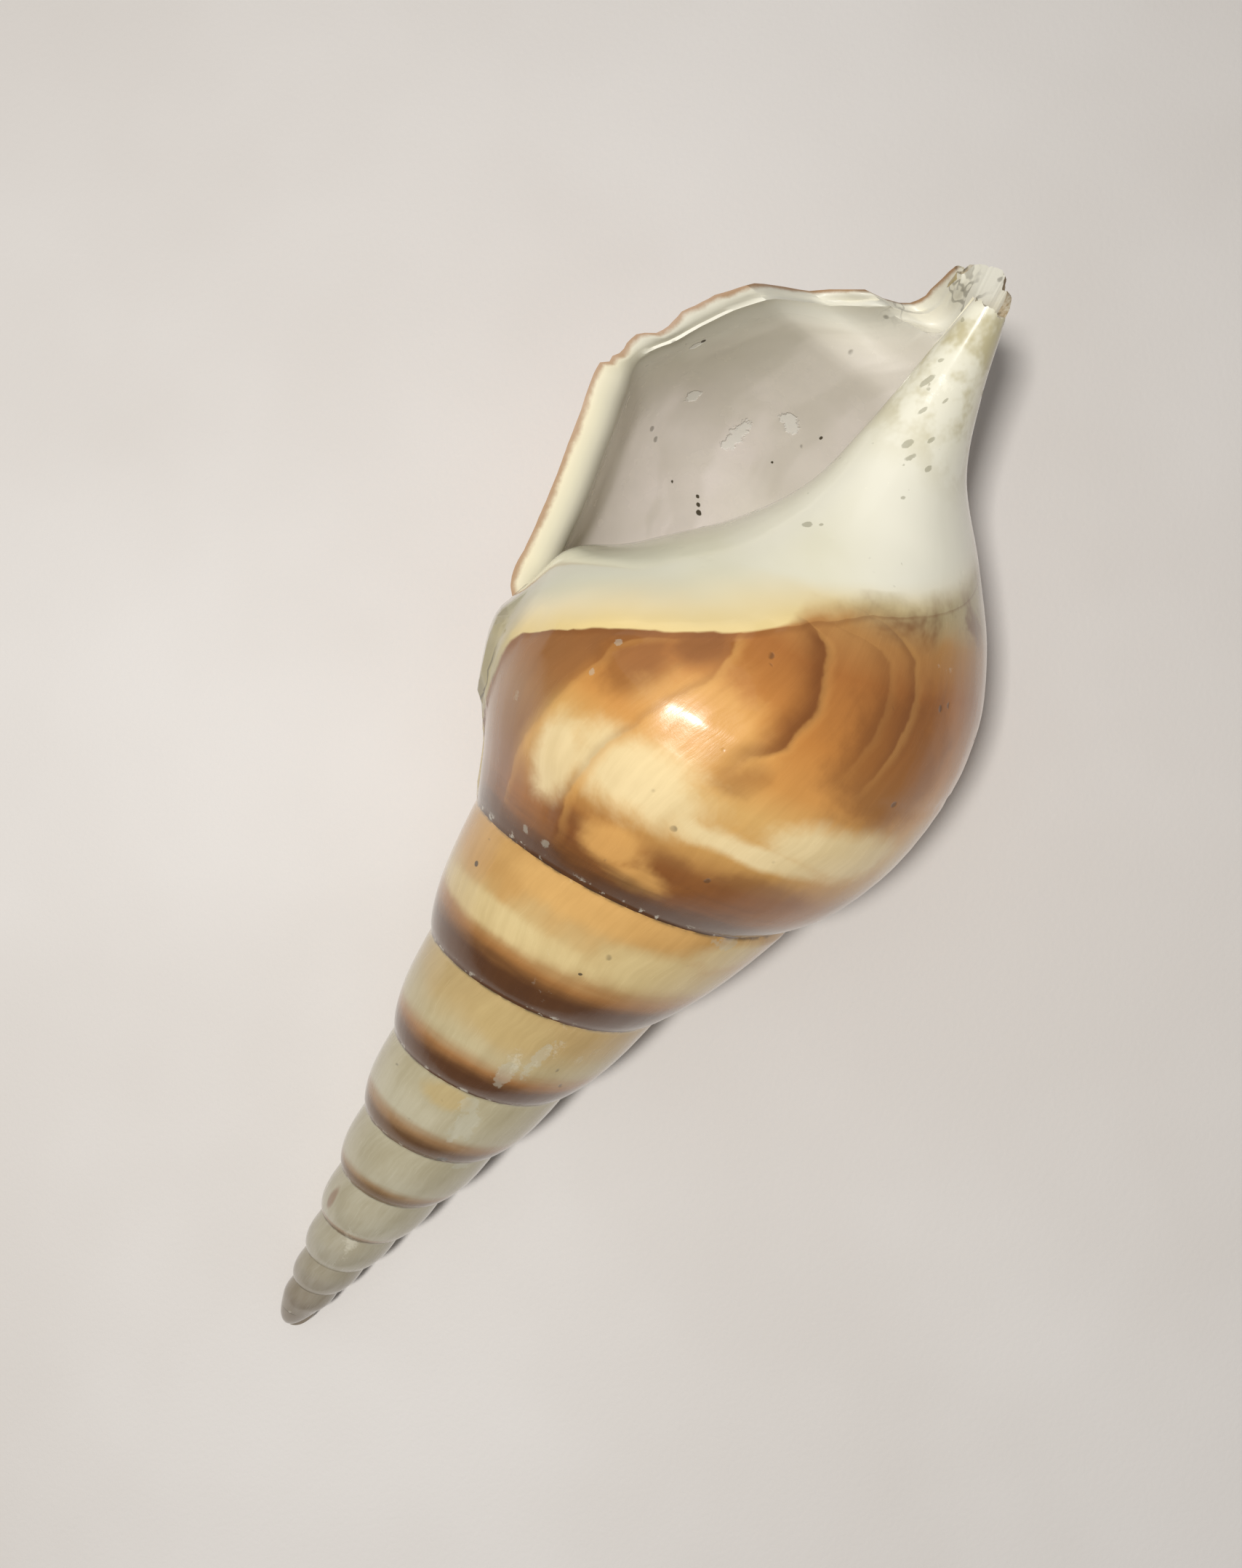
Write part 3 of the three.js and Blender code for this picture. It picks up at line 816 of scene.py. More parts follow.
SPOTS = (
    Patch(Tone.CHALK, -3.70, 0.62, 0.022, 0.26), Patch(Tone.CHALK, -3.715, 0.85, 0.018, 0.12),
    Patch(Tone.CHALK, -2.705, 0.36, 0.012, 0.14), Patch(Tone.CHALK, -2.685, 0.62, 0.010, 0.22),
    Patch(Tone.CHALK, -0.836, 0.105, 0.004, 0.02), Patch(Tone.CHALK, -0.812, 0.10, 0.005, 0.026),
    Patch(Tone.CHALK, -0.834, 1.0, 0.002, 0.015), Patch(Tone.CHALK, -0.833, 1.18, 0.0025, 0.018),
    Patch(Tone.CHALK, -4.62, 0.96, 0.02, 0.07), Patch(Tone.CHALK, -1.62, 0.97, 0.012, 0.06),
    Patch(Tone.SOOT, -3.683, 0.05, 0.013, 0.055), Patch(Tone.SOOT, -1.717, 0.448, 0.0024, 0.012),
    Patch(Tone.SOOT, -1.878, 0.707, 0.004, 0.025), Patch(Tone.SOOT, -2.2, 0.3, 0.005, 0.03),
)


GLAZE_SPOTS = (
    Patch(Tone.SOOT, -0.806, 2.048, 0.0072, 0.0202), Patch(Tone.SOOT, -0.761, 2.729, 0.0130, 0.0216),
    Patch(Tone.SOOT, -0.700, 2.735, 0.0115, 0.0158), Patch(Tone.SOOT, -0.683, 2.529, 0.0130, 0.0187),
    Patch(Tone.SOOT, -0.745, 2.540, 0.0158, 0.0259), Patch(Tone.SOOT, -0.720, 2.460, 0.0144, 0.0216),
    Patch(Tone.SOOT, -0.661, 2.384, 0.0101, 0.0158), Patch(Tone.SOOT, -0.817, 2.934, 0.0216, 0.0360),
    Patch(Tone.SOOT, -0.700, 2.260, 0.0058, 0.0101), Patch(Tone.SOOT, -0.790, 2.065, 0.0029, 0.0086),
)
HOLLOW_SPOTS = (
    Patch(Tone.CHALK, -0.137, 1.33, 0.006, 0.075), Patch(Tone.CHALK, -0.133, 1.41, 0.005, 0.06),
    Patch(Tone.CHALK, -0.084, 1.325, 0.005, 0.04), Patch(Tone.CHALK, -0.155, 1.58, 0.012, 0.035),
    Patch(Tone.CHALK, -0.029, 1.45, 0.004, 0.03),
    Patch(Tone.SOOT, -0.1485, 0.974, 0.0022, 0.012), Patch(Tone.SOOT, -0.152, 0.947, 0.0028, 0.014),
    Patch(Tone.SOOT, -0.1445, 1.004, 0.0018, 0.010), Patch(Tone.SOOT, -0.028, 1.478, 0.0022, 0.014),
    Patch(Tone.SOOT, -0.172, 1.392, 0.0016, 0.009), Patch(Tone.SOOT, -0.184, 1.636, 0.0018, 0.012),
    Patch(Tone.SOOT, -0.12, 0.971, 0.0016, 0.010),
)


@dataclass(frozen=True)
class Callus:
    """The glaze beside the opening, and the broken flap of it behind the opening's back corner."""

    across: tuple = (0.30, 0.52, 0.75, 0.95, 1.05, 1.13, 1.27, 1.40, 1.51, 1.63, 1.74, 1.83, 2.2)
    turn: tuple = (-0.985, -0.946, -0.925, -0.908, -0.885, -0.862, -0.828, -0.794, -0.762, -0.733,
                   -0.69, -0.60, -0.15)
    thickness: float = 0.42
    edge: float = 0.4
    flap_x: float = 89.0
    flap_turn: float = -0.985
    flap_half_x: float = 6.2
    flap_half_turn: float = 0.052
    flap_thickness: float = 0.75
    flap_front: float = 5.5

    def inside(self, turn: Array, across: Array, radius: Array) -> Array:
        """Distance inside the glaze's edge, mm, negative on the bare whorl.

        Args:
            turn: The stations.
            across: Places across the whorl.
            radius: Distances from the axis, mm.

        Returns:
            The distance at each.
        """
        front = (np.interp(across, self.across, self.turn) - turn) * TURN * radius * 0.75
        rear = np.where(across < 1.0, (turn + 1.004) * TURN * radius, 30.0)
        return np.clip(np.minimum(front, rear), -12, 12)

    def flap(self, turn: Array, x: Array) -> Array:
        """Distance inside the flap's edge, mm."""
        away = np.hypot((x - self.flap_x) / self.flap_half_x, (turn - self.flap_turn) / self.flap_half_turn)
        return np.clip(np.minimum((1 - away) * self.flap_half_x, self.flap_x + self.flap_front - x), -6, 6)


@dataclass
class Weathering:
    """What growth, wear and breakage do to the smooth form."""

    spiral: Spiral
    callus: Callus = field(default_factory=Callus)
    seed: int = 11
    waviness: float = 0.10
    suture_depth: float = 0.12
    spot_depth: float = 0.22
    roll_depth: float = 2.4
    roll_reach: float = 8.0
    sinus_x: tuple = (133.5, 136.9, 138.7, 140.05, 140.6, 141.1, 142.0, 143.4, 145.1, 146.4, 147.5)
    sinus_turns: tuple = (0.0, 0.07, 0.08, 0.078, 0.115, 0.14, 0.16, 0.165, 0.15, 0.13, 0.12)
    sinus_reach: float = 0.36

    def __post_init__(self) -> None:
        """Make the noise."""
        self.noise = ValueNoise(self.seed)

    def _line_noise(self, values: Array, offset: float, octaves: int = 3) -> Array:
        """Noise along one line."""
        return self.noise.many(np.stack([values, np.full(len(values), offset), 0 * values], axis=1), octaves)

    def outside(self, points: Array, turn: Array, x: Array, radius: Array) -> tuple[Array, Array, Array]:
        """Height added to the outside.

        Args:
            points: Points of the outside.
            turn: Their stations.
            x: Their places along the axis.
            radius: Their distance from the axis.

        Returns:
            The height of each, mm, its distance inside the callus and inside the flap.
        """
        across = self.spiral.across(x, turn)
        size = radius / 25
        inside = self.callus.inside(turn, across, radius) + 0.5 * self.noise.many(points * 0.5)
        flap = self.callus.flap(turn, x) + 1.7 * self.noise.many(points * 0.45)
        bare = 1 - smooth(inside, -0.5, 1.0)
        spiral_place = np.stack([x * 0.16, turn * 9, radius * 0.05], axis=1)
        lift = self.waviness * size * self.noise.many(spiral_place)
        lift += 0.03 * size * self.noise.many(points * 1.3)
        lines = np.stack([turn * 150 + 1.5 * across, across * 0.8, turn * 0], axis=1)
        lift += bare * 0.02 * size * self.noise.many(lines, 2)
        near = np.minimum(np.abs(across), np.abs(1 - across))
        seam = np.exp(-(near / 0.035) ** 2) * (across < 1.02) * (turn < -0.03)
        lift -= self.suture_depth * size * seam
        flecks = self.noise.many(points * 0.9 / np.maximum(size, 0.3)[:, None])
        lift += 0.10 * size * flecks * np.exp(-(across / 0.05) ** 2)
        for stop in GROWTH_STOPS:
            lift += bare * stop.lift(turn, across, radius)
        for spot in SPOTS:
            pit = smooth(spot.depth(turn, across), -0.2, 0.6)
            lift -= self.spot_depth * math.sqrt(spot.half_across) * pit
        lift += self.callus.thickness * smooth(inside, 0, self.callus.edge) * (1 - smooth(x, 108, 122))
        lift += self.callus.flap_thickness * smooth(flap, 0, 0.7) * smooth(turn, -1.06, -1.0)
        lift += 0.75 * np.exp(-((x - 100.5) / 2.6) ** 2 - ((turn + 0.985) * TURN * 24 / 4.5) ** 2)
        return lift, inside, flap

    def hollow(self, points: Array, inward: Array) -> Array:
        """Gentle waves of the hollow's wall, mm."""
        waves = 0.16 * self.noise.many(points * 0.14) * smooth(inward, 2, 8)
        return waves + 0.02 * self.noise.many(points * 1.1)

    def rim_drop(self, x: Array, inward: Array, turn: Array, rim: Array) -> Array:
        """How far the rim rolls down from its outer edge into the hollow, mm.

        Args:
            x: Place along the axis, mm.
            inward: Distance from the lip's outer edge, mm.
            turn: The stations.
            rim: Width of the rim, mm.

        Returns:
            The drop at each point.
        """
        part = clamp01(inward / np.maximum(rim, 0.5))
        rolled = 1 - np.sqrt(np.maximum(1 - part ** 2, 0))
        beyond = 1 - smooth(inward - rim, 0, self.roll_reach)
        fade = smooth(x, 92.5, 96) * smooth(x, 147, 143) * (turn > -0.12)
        return np.minimum(self.roll_depth, 0.65 * rim) * rolled * beyond * fade

    def sinus(self, x: Array, turn: Array) -> Array:
        """How far the lip is cut back around the axis beside the canal, radians."""
        return math.tau * np.interp(x, self.sinus_x, self.sinus_turns) * smooth(1 + turn / self.sinus_reach)

    def chips(self, x: Array, inward: Array, turn: Array, radius: Array) -> Array:
        """How far the broken lip is pared back towards the axis, mm.

        Args:
            x: Place along the axis, mm.
            inward: Distance from the lip's outer edge, mm.
            turn: The stations.
            radius: Distances from the axis, mm.

        Returns:
            The depth at each point.
        """
        near_lip = clamp01(1 + turn * TURN * radius / 3.2)
        broken = smooth(x, 118.6, 119.4) * (1 - smooth(x, 143, 146))
        bites = smooth(self._line_noise(x * 0.7, 3.1, 4), 0.12, 0.34) * broken
        notches = 0.5 * np.exp(-((x - 139.3) / 0.5) ** 2) + 0.9 * np.exp(-((x - 125.2) / 1.5) ** 2)
        notches += 0.7 * smooth(x, 118.8, 119.3) * (1 - smooth(x, 121, 124))
        flecks = self._line_noise(x * 1.5, 9.0) * lerp(0.06, 0.25, broken)
        outer = 1 - smooth(inward, 0.5, 2.6)
        return near_lip * outer * np.maximum(0.3 * bites + notches + flecks, 0)

    def tip(self, x: Array, turn: Array) -> Array:
        """How far the canal's broken end is pared back along the axis, mm."""
        ragged = self._line_noise(turn * 22, 5.2, 4) + 0.3
        return np.maximum(ragged, 0) * 1.9 * smooth(x, 142, 147.5)


# ---------------------------------------------------------------- shader building
class Sockets(enum.Enum):
    """Kinds of node group socket."""

    VALUE = "NodeSocketFloat"
    COLOUR = "NodeSocketColor"
    VECTOR = "NodeSocketVector"


class Tree:
    """A node tree with short calls for the nodes that this shell's finishes use."""

    def __init__(self, tree: bpy.types.NodeTree) -> None:
        """Keep the tree."""
        self.tree = tree

    def node(self, kind: str, **settings: object) -> bpy.types.Node:
        """Add a node and set its properties.

        Args:
            kind: The node's type.
            settings: Its properties.

        Returns:
            The node.
        """
        made = self.tree.nodes.new(kind)
        for name, value in settings.items():
            setattr(made, name, value)
        return made

    def feed(self, socket: bpy.types.NodeSocket, value: object) -> None:
        """Link a socket to another, or set its value.

        Args:
            socket: The input.
            value: A socket, number, vector or colour.
        """
        if isinstance(value, bpy.types.NodeSocket):
            self.tree.links.new(value, socket)
        elif socket.type == "RGBA":
            socket.default_value = (*value, 1.0)
        else:
            socket.default_value = value

    def math(self, operation: str, first: object, second: object = 0.0, limit: bool = False) -> object:
        """A Math node's result.

        Args:
            operation: The node's operation.
            first: First value.
            second: Second value.
            limit: Whether to limit it to 0..1.

        Returns:
            The result.
        """
        made = self.node("ShaderNodeMath", operation=operation, use_clamp=limit)
        self.feed(made.inputs[0], first)
        self.feed(made.inputs[1], second)
        return made.outputs[0]

    def add(self, *values: object) -> object:
        """Sum of values.

        Args:
            values: Sockets or numbers.

        Returns:
            The sum.
        """
        total = values[0]
        for value in values[1:]:
            total = self.math("ADD", total, value)
        return total

    def times(self, *values: object) -> object:
        """Product of values.

        Args:
            values: Sockets or numbers.

        Returns:
            The product.
        """
        total = values[0]
        for value in values[1:]:
            total = self.math("MULTIPLY", total, value)
        return total

    def less(self, first: object, second: object) -> object:
        """The first value less the second."""
        return self.math("SUBTRACT", first, second)

    def step(self, value: object, low: object, high: object,
             to_low: float = 0.0, to_high: float = 1.0) -> object:
        """Smooth step of a value from low to high.

        Args:
            value: The value.
            low: Where the step starts.
            high: Where it ends.
            to_low: Result at low.
            to_high: Result at high.

        Returns:
            The result.
        """
        made = self.node("ShaderNodeMapRange", interpolation_type="SMOOTHSTEP", clamp=True)
        for name, number in zip(("Value", "From Min", "From Max", "To Min", "To Max"),
                                (value, low, high, to_low, to_high)):
            self.feed(made.inputs[name], number)
        return made.outputs[0]

    def mix(self, part: object, first: object, second: object, blend: str = "MIX") -> object:
        """Blend of two colours.

        Args:
            part: How much of the second.
            first: First colour.
            second: Second colour.
            blend: Blend type.

        Returns:
            The colour.
        """
        made = self.node("ShaderNodeMix", data_type="RGBA", blend_type=blend)
        self.feed(made.inputs["Factor"], part)
        self.feed(made.inputs[6], first)
        self.feed(made.inputs[7], second)
        return made.outputs[2]

    def ramp(self, value: object, stops: tuple) -> object:
        """A colour ramp through the stops, each a place from 0 to 1 and a colour.

        Args:
            value: Place on the ramp.
            stops: The stops.

        Returns:
            The colour.
        """
        made = self.node("ShaderNodeValToRGB")
        elements = made.color_ramp.elements
        while len(elements) < len(stops):
            elements.new(0.5)
        for element, (place, colour) in zip(elements, stops):
            element.position = place
            element.color = (*colour, 1.0)
        self.feed(made.inputs[0], value)
        return made.outputs[0]

    def vector(self, x: object, y: object, z: object = 0.0) -> object:
        """A vector from three values.

        Args:
            x: First part.
            y: Second part.
            z: Third part.

        Returns:
            The vector.
        """
        made = self.node("ShaderNodeCombineXYZ")
        for socket, value in zip(made.inputs, (x, y, z)):
            self.feed(socket, value)
        return made.outputs[0]

    def noise(self, place: object, scale: object, detail: float = 4.0, roughness: float = 0.55,
              warp: float = 0.0) -> object:
        """Noise from 0 to 1 at a place.

        Args:
            place: Where.
            scale: How fine.
            detail: Octaves.
            roughness: Strength of the finer ones.
            warp: Distortion.

        Returns:
            The value.
        """
        made = self.node("ShaderNodeTexNoise")
        for name, value in (("Vector", place), ("Scale", scale), ("Detail", detail),
                            ("Roughness", roughness), ("Distortion", warp)):
            self.feed(made.inputs[name], value)
        return made.outputs[0]

    def mark(self, name: str) -> object:
        """A value that the mesh carries."""
        return self.node("ShaderNodeAttribute", attribute_name=name).outputs["Fac"]

    def place(self) -> object:
        """The point's own place, metres."""
        return self.node("ShaderNodeTexCoord").outputs["Object"]

    def bump(self, height: object, distance: float, strength: float = 1.0) -> object:
        """A normal from a height.

        Args:
            height: The height.
            distance: Metres for a height of 1.
            strength: How strong.

        Returns:
            The normal.
        """
        made = self.node("ShaderNodeBump")
        made.inputs["Strength"].default_value = strength
        made.inputs["Distance"].default_value = distance
        self.feed(made.inputs["Height"], height)
        return made.outputs[0]


class Effect:
    """A shader node group with named inputs and outputs, built once."""

    name = "effect"
    inputs: tuple = ()
    outputs: tuple = ()

    def __init__(self) -> None:
        """Make the group's sockets and its nodes."""
        self.group = bpy.data.node_groups.new(self.name, "ShaderNodeTree")
        for name, kind, start in self.inputs:
            socket = self.group.interface.new_socket(name=name, in_out="INPUT", socket_type=kind.value)
            socket.default_value = (*start, 1.0) if kind is Sockets.COLOUR else start
        for name, kind in self.outputs:
            self.group.interface.new_socket(name=name, in_out="OUTPUT", socket_type=kind.value)
        tree = Tree(self.group)
        entry, leave = tree.node("NodeGroupInput"), tree.node("NodeGroupOutput")
        for name, value in self.make(tree, entry.outputs).items():
            tree.feed(leave.inputs[name], value)

    def make(self, tree: Tree, given: object) -> dict[str, object]:
        """Build the nodes.

        Args:
            tree: The group's tree.
            given: The group's inputs, by name.

        Returns:
            What feeds each output, by name.
        """
        raise NotImplementedError

    def use(self, tree: Tree, **values: object) -> object:
        """Place the group in a tree.

        Args:
            tree: The material's tree.
            values: Inputs by name, with underscores for spaces.

        Returns:
            The placed node's outputs, by name.
        """
        made = tree.node("ShaderNodeGroup", node_tree=self.group)
        for name, value in values.items():
            tree.feed(made.inputs[name.replace("_", " ")], value)
        return made.outputs


class GrowthLines(Effect):
    """Fine lines and broad bars left at the growing lip, one after another along the spiral."""

    name = "growth lines"
    inputs = (("Turn", Sockets.VALUE, 0.0), ("Across", Sockets.VALUE, 0.0), ("Lines", Sockets.VALUE, 120.0))
    outputs = (("Fine", Sockets.VALUE), ("Broad", Sockets.VALUE), ("Height", Sockets.VALUE))

    def make(self, tree: Tree, given: object) -> dict[str, object]:
        """Noise stretched along the growing lip.

        Args:
            tree: The group's tree.
            given: Its inputs.

        Returns:
            Its outputs.
        """
        turn, across = given["Turn"], given["Across"]
        lag = tree.step(across, 0.7, 1.6, 0.0, 0.03)
        sway = tree.times(tree.noise(tree.vector(turn, across), 3.0, 2.0), 0.02)
        age = tree.add(tree.less(turn, lag), sway)
        stretched = tree.vector(tree.times(age, given["Lines"]), tree.times(across, 1.4))
        fine = tree.noise(stretched, 1.0, 5.0, 0.7)
        broad = tree.noise(tree.vector(tree.times(age, 17.0), tree.times(across, 1.3), 4.7), 1.0, 3.0)
        return {"Fine": tree.step(fine, 0.33, 0.67), "Broad": tree.step(broad, 0.35, 0.65),
                "Height": tree.add(tree.times(fine, 0.7), tree.times(broad, 0.3))}


class SutureBand(Effect):
    """The dark band that starts sharply at the older suture and fades across the whorl."""

    name = "suture band"
    inputs = (("Turn", Sockets.VALUE, 0.0), ("Across", Sockets.VALUE, 0.0), ("Ragged", Sockets.VALUE, 0.5))
    outputs = (("Dark", Sockets.VALUE), ("Rust", Sockets.VALUE), ("Seam", Sockets.VALUE))

    def make(self, tree: Tree, given: object) -> dict[str, object]:
        """A band whose width grows with the whorls.

        Args:
            tree: The group's tree.
            given: Its inputs.

        Returns:
            Its outputs.
        """
        turn, across = given["Turn"], given["Across"]
        width = tree.add(tree.step(turn, -7.2, -3.8, 0.0, 0.25), tree.step(turn, -3.5, -1.8, 0.0, 0.04),
                         tree.step(turn, -1.45, -0.9, 0.0, -0.07))
        wave = tree.noise(tree.vector(tree.times(turn, 6.0), tree.times(across, 5.0)), 1.0, 4.0, 0.6)
        mottle = tree.times(tree.add(width, 0.02), tree.step(turn, -1.3, -0.95, 1.0, 2.6))
        ragged = tree.times(tree.less(wave, 0.5), given["Ragged"], mottle)
        ratio = tree.math("DIVIDE", tree.add(across, ragged), tree.add(width, 0.004))
        present = tree.step(width, 0.01, 0.08)
        dark = tree.times(tree.step(ratio, tree.step(turn, -1.3, -0.95, 0.62, 0.3), 1.25, 1.0, 0.0), present)
        rust = tree.times(tree.step(ratio, 1.05, 1.8, 1.0, 0.0), present)
        # Seam: the suture's crease darkened by dirt and by painted shade, on the older suture and on the body
        # whorl's younger one.
        young = tree.times(tree.step(across, 0.98, 1.0), tree.step(turn, -0.99, -0.995))
        seam = tree.add(tree.step(across, 0.0, 0.018, 1.0, 0.0), young)
        return {"Dark": dark, "Rust": rust, "Seam": seam}


class SoftPatch(Effect):
    """A patch with an edge that noise breaks up."""

    name = "soft patch"
    inputs = (("Depth", Sockets.VALUE, 0.0), ("Place", Sockets.VECTOR, (0.0, 0.0, 0.0)),
              ("Ragged", Sockets.VALUE, 0.6), ("Low", Sockets.VALUE, -0.1), ("High", Sockets.VALUE, 0.5))
    outputs = (("Mask", Sockets.VALUE),)

    def make(self, tree: Tree, given: object) -> dict[str, object]:
        """The patch's depth with noise added.

        Args:
            tree: The group's tree.
            given: Its inputs.

        Returns:
            Its outputs.
        """
        cloud = tree.less(tree.noise(given["Place"], 210.0, 4.0, 0.62, 0.3), 0.5)
        depth = tree.add(given["Depth"], tree.times(cloud, given["Ragged"]))
        return {"Mask": tree.step(depth, given["Low"], given["High"])}


class Spot(Effect):
    """A small spot at one place on the spiral, with a ragged edge."""

    name = "spot"
    inputs = (("Turn", Sockets.VALUE, 0.0), ("Across", Sockets.VALUE, 0.0), ("At Turn", Sockets.VALUE, 0.0),
              ("At Across", Sockets.VALUE, 0.0), ("Half Turn", Sockets.VALUE, 0.01),
              ("Half Across", Sockets.VALUE, 0.05), ("Ragged", Sockets.VALUE, 0.0))
    outputs = (("Mask", Sockets.VALUE),)

    def make(self, tree: Tree, given: object) -> dict[str, object]:
        """Distance from the spot's middle, plus the ragged edge.

        Args:
            tree: The group's tree.
            given: Its inputs.

        Returns:
            Its outputs.
        """
        along = tree.math("DIVIDE", tree.less(given["Turn"], given["At Turn"]), given["Half Turn"])
        beside = tree.math("DIVIDE", tree.less(given["Across"], given["At Across"]), given["Half Across"])
        away = tree.math("SQRT", tree.add(tree.times(along, along), tree.times(beside, beside)))
        return {"Mask": tree.step(tree.add(away, given["Ragged"]), 1.0, 0.7)}

    def all(self, tree: Tree, spots: tuple[Patch, ...], tone: Tone, place: object, ragged: float) -> object:
        """Every spot of one tone.

        Args:
            tree: The material's tree.
            spots: The spots.
            tone: The tone to keep.
            place: The point's own place.
            ragged: How ragged their edges are.

        Returns:
            The mask of them together.
        """
        turn, across = tree.mark("turn"), tree.mark("across")
        edge = tree.times(tree.less(tree.noise(place, 700.0, 4.0, 0.7), 0.5), ragged)
        masks = [self.use(tree, Turn=turn, Across=across, At_Turn=spot.turn, At_Across=spot.across,
                          Half_Turn=spot.half_turn, Half_Across=spot.half_across, Ragged=edge)["Mask"]
                 for spot in spots if spot.tone is tone]
        return tree.math("MINIMUM", tree.add(*masks), 1.0)


class OldLip(Effect):
    """Colour at an old lip's line: darkest just before it, with a thin pale edge on it."""

    name = "old lip"
    inputs = (("Beyond", Sockets.VALUE, 0.0), ("Reach", Sockets.VALUE, 1.0),
              ("Place", Sockets.VECTOR, (0.0, 0.0, 0.0)),
              ("Width", Sockets.VALUE, 2.5))
    outputs = (("Dark", Sockets.VALUE), ("Pale", Sockets.VALUE))

    def make(self, tree: Tree, given: object) -> dict[str, object]:
        """A sawtooth of darkness over the distance past the line.

        Args:
            tree: The group's tree.
            given: Its inputs.

        Returns:
            Its outputs.
        """
        jitter = tree.times(tree.less(tree.noise(given["Place"], 260.0, 3.0, 0.6), 0.5), 1.6)
        beyond = tree.add(given["Beyond"], jitter)
        rise = tree.step(beyond, tree.times(given["Width"], -1.0), -0.1)
        dark = tree.times(rise, rise, tree.step(beyond, -0.15, 0.9, 1.0, 0.0), given["Reach"])
        pale = tree.times(tree.step(beyond, -0.1, 0.3), tree.step(beyond, 0.3, 1.6, 1.0, 0.0), given["Reach"])
        return {"Dark": dark, "Pale": pale}


class Wear(Effect):
    """Where gloss and colour are worn off: chalky scuffs and pinholes."""

    name = "wear"
    inputs = (("Place", Sockets.VECTOR, (0.0, 0.0, 0.0)), ("Amount", Sockets.VALUE, 0.5))
    outputs = (("Scuffs", Sockets.VALUE), ("Pinholes", Sockets.VALUE), ("Cloud", Sockets.VALUE),
               ("Height", Sockets.VALUE))

    def make(self, tree: Tree, given: object) -> dict[str, object]:
        """Patches broken up by finer noise.

        Args:
            tree: The group's tree.
            given: Its inputs.

        Returns:
            Its outputs.
        """
        where = given["Place"]
        grit = tree.noise(where, 900.0, 4.0, 0.75)
        level = tree.add(tree.times(tree.noise(where, 95.0, 3.0, 0.6, 0.3), 0.75), tree.times(grit, 0.25))
        scuffs = tree.step(tree.add(level, tree.times(given["Amount"], 0.1)), 0.68, 0.74)
        cells = tree.node("ShaderNodeTexVoronoi", feature="F1")
        tree.feed(cells.inputs["Vector"], where)
        cells.inputs["Scale"].default_value = 420.0
        rare = tree.step(tree.noise(where, 210.0, 1.0), 0.64, 0.68)
        pinholes = tree.times(tree.step(cells.outputs["Distance"], 0.1, 0.2, 1.0, 0.0), rare)
        height = tree.less(tree.times(grit, 0.25), tree.add(tree.times(scuffs, 0.6), pinholes))
        return {"Scuffs": scuffs, "Pinholes": pinholes, "Cloud": tree.noise(where, 38.0, 4.0, 0.6, 0.4),
                "Height": height}


class Cracks(Effect):
    """Hairline cracks with grime in them."""

    name = "cracks"
    inputs = (("Place", Sockets.VECTOR, (0.0, 0.0, 0.0)), ("Scale", Sockets.VALUE, 200.0),
              ("Amount", Sockets.VALUE, 1.0))
    outputs = (("Mask", Sockets.VALUE), ("Grime", Sockets.VALUE))

    def make(self, tree: Tree, given: object) -> dict[str, object]:
        """Lines where a noise crosses its middle, broken up by another.

        Args:
            tree: The group's tree.
            given: Its inputs.

        Returns:
            Its outputs.
        """
        cloud = tree.noise(given["Place"], given["Scale"], 4.0, 0.6, 0.4)
        line = tree.step(tree.math("ABSOLUTE", tree.less(cloud, 0.5)), 0.004, 0.016, 1.0, 0.0)
        part = tree.step(tree.noise(given["Place"], 120.0, 2.0), 0.47, 0.6)
        grime = tree.times(tree.step(cloud, 0.5, 0.62), part, given["Amount"])
        return {"Mask": tree.times(line, part, given["Amount"]), "Grime": grime}


class Porcelain(Effect):
    """The white glaze: cream, faintly green in its thick parts, yellow at its edge, stained in front."""

    name = "porcelain"
    inputs = (("Place", Sockets.VECTOR, (0.0, 0.0, 0.0)), ("Along", Sockets.VALUE, 0.0),
              ("Edge", Sockets.VALUE, 5.0))
    outputs = (("Colour", Sockets.COLOUR),)

    def make(self, tree: Tree, given: object) -> dict[str, object]:
        """Cream near the edge, white further in.

        Args:
            tree: The group's tree.
            given: Its inputs.

        Returns:
            Its outputs.
        """
        where, along = given["Place"], given["Along"]
        cloud = tree.noise(where, 55.0, 3.0, 0.5, 0.2)
        colour = tree.mix(tree.step(cloud, 0.35, 0.7), srgb(250, 245, 224), srgb(240, 234, 206))
        thick = tree.times(tree.step(given["Edge"], 3.0, 9.0), tree.step(along, 116, 98))
        colour = tree.mix(tree.times(thick, 0.7), colour, srgb(208, 207, 176))
        ragged_edge = tree.add(given["Edge"], tree.times(tree.less(cloud, 0.5), 4.0))
        yellow = tree.step(ragged_edge, -1.0, 11.0, 0.95, 0.0)
        yellowed = tree.times(yellow, tree.step(along, 122, 113, 0.35, 1.0))
        colour = tree.mix(yellowed, colour, srgb(236, 208, 138))
        blotches = tree.step(tree.noise(where, 150.0, 4.0, 0.65), 0.44, 0.62)
        stain = tree.times(blotches, tree.step(along, 125, 136))
        colour = tree.mix(tree.times(stain, 0.75), colour, srgb(192, 178, 128))
        dots = tree.times(tree.step(tree.noise(where, 620.0, 2.0), 0.70, 0.74), tree.step(along, 114, 122),
                          tree.step(tree.noise(where, 90.0, 1.0), 0.50, 0.58))
        return {"Colour": tree.mix(tree.times(dots, 0.5), colour, srgb(150, 144, 112))}


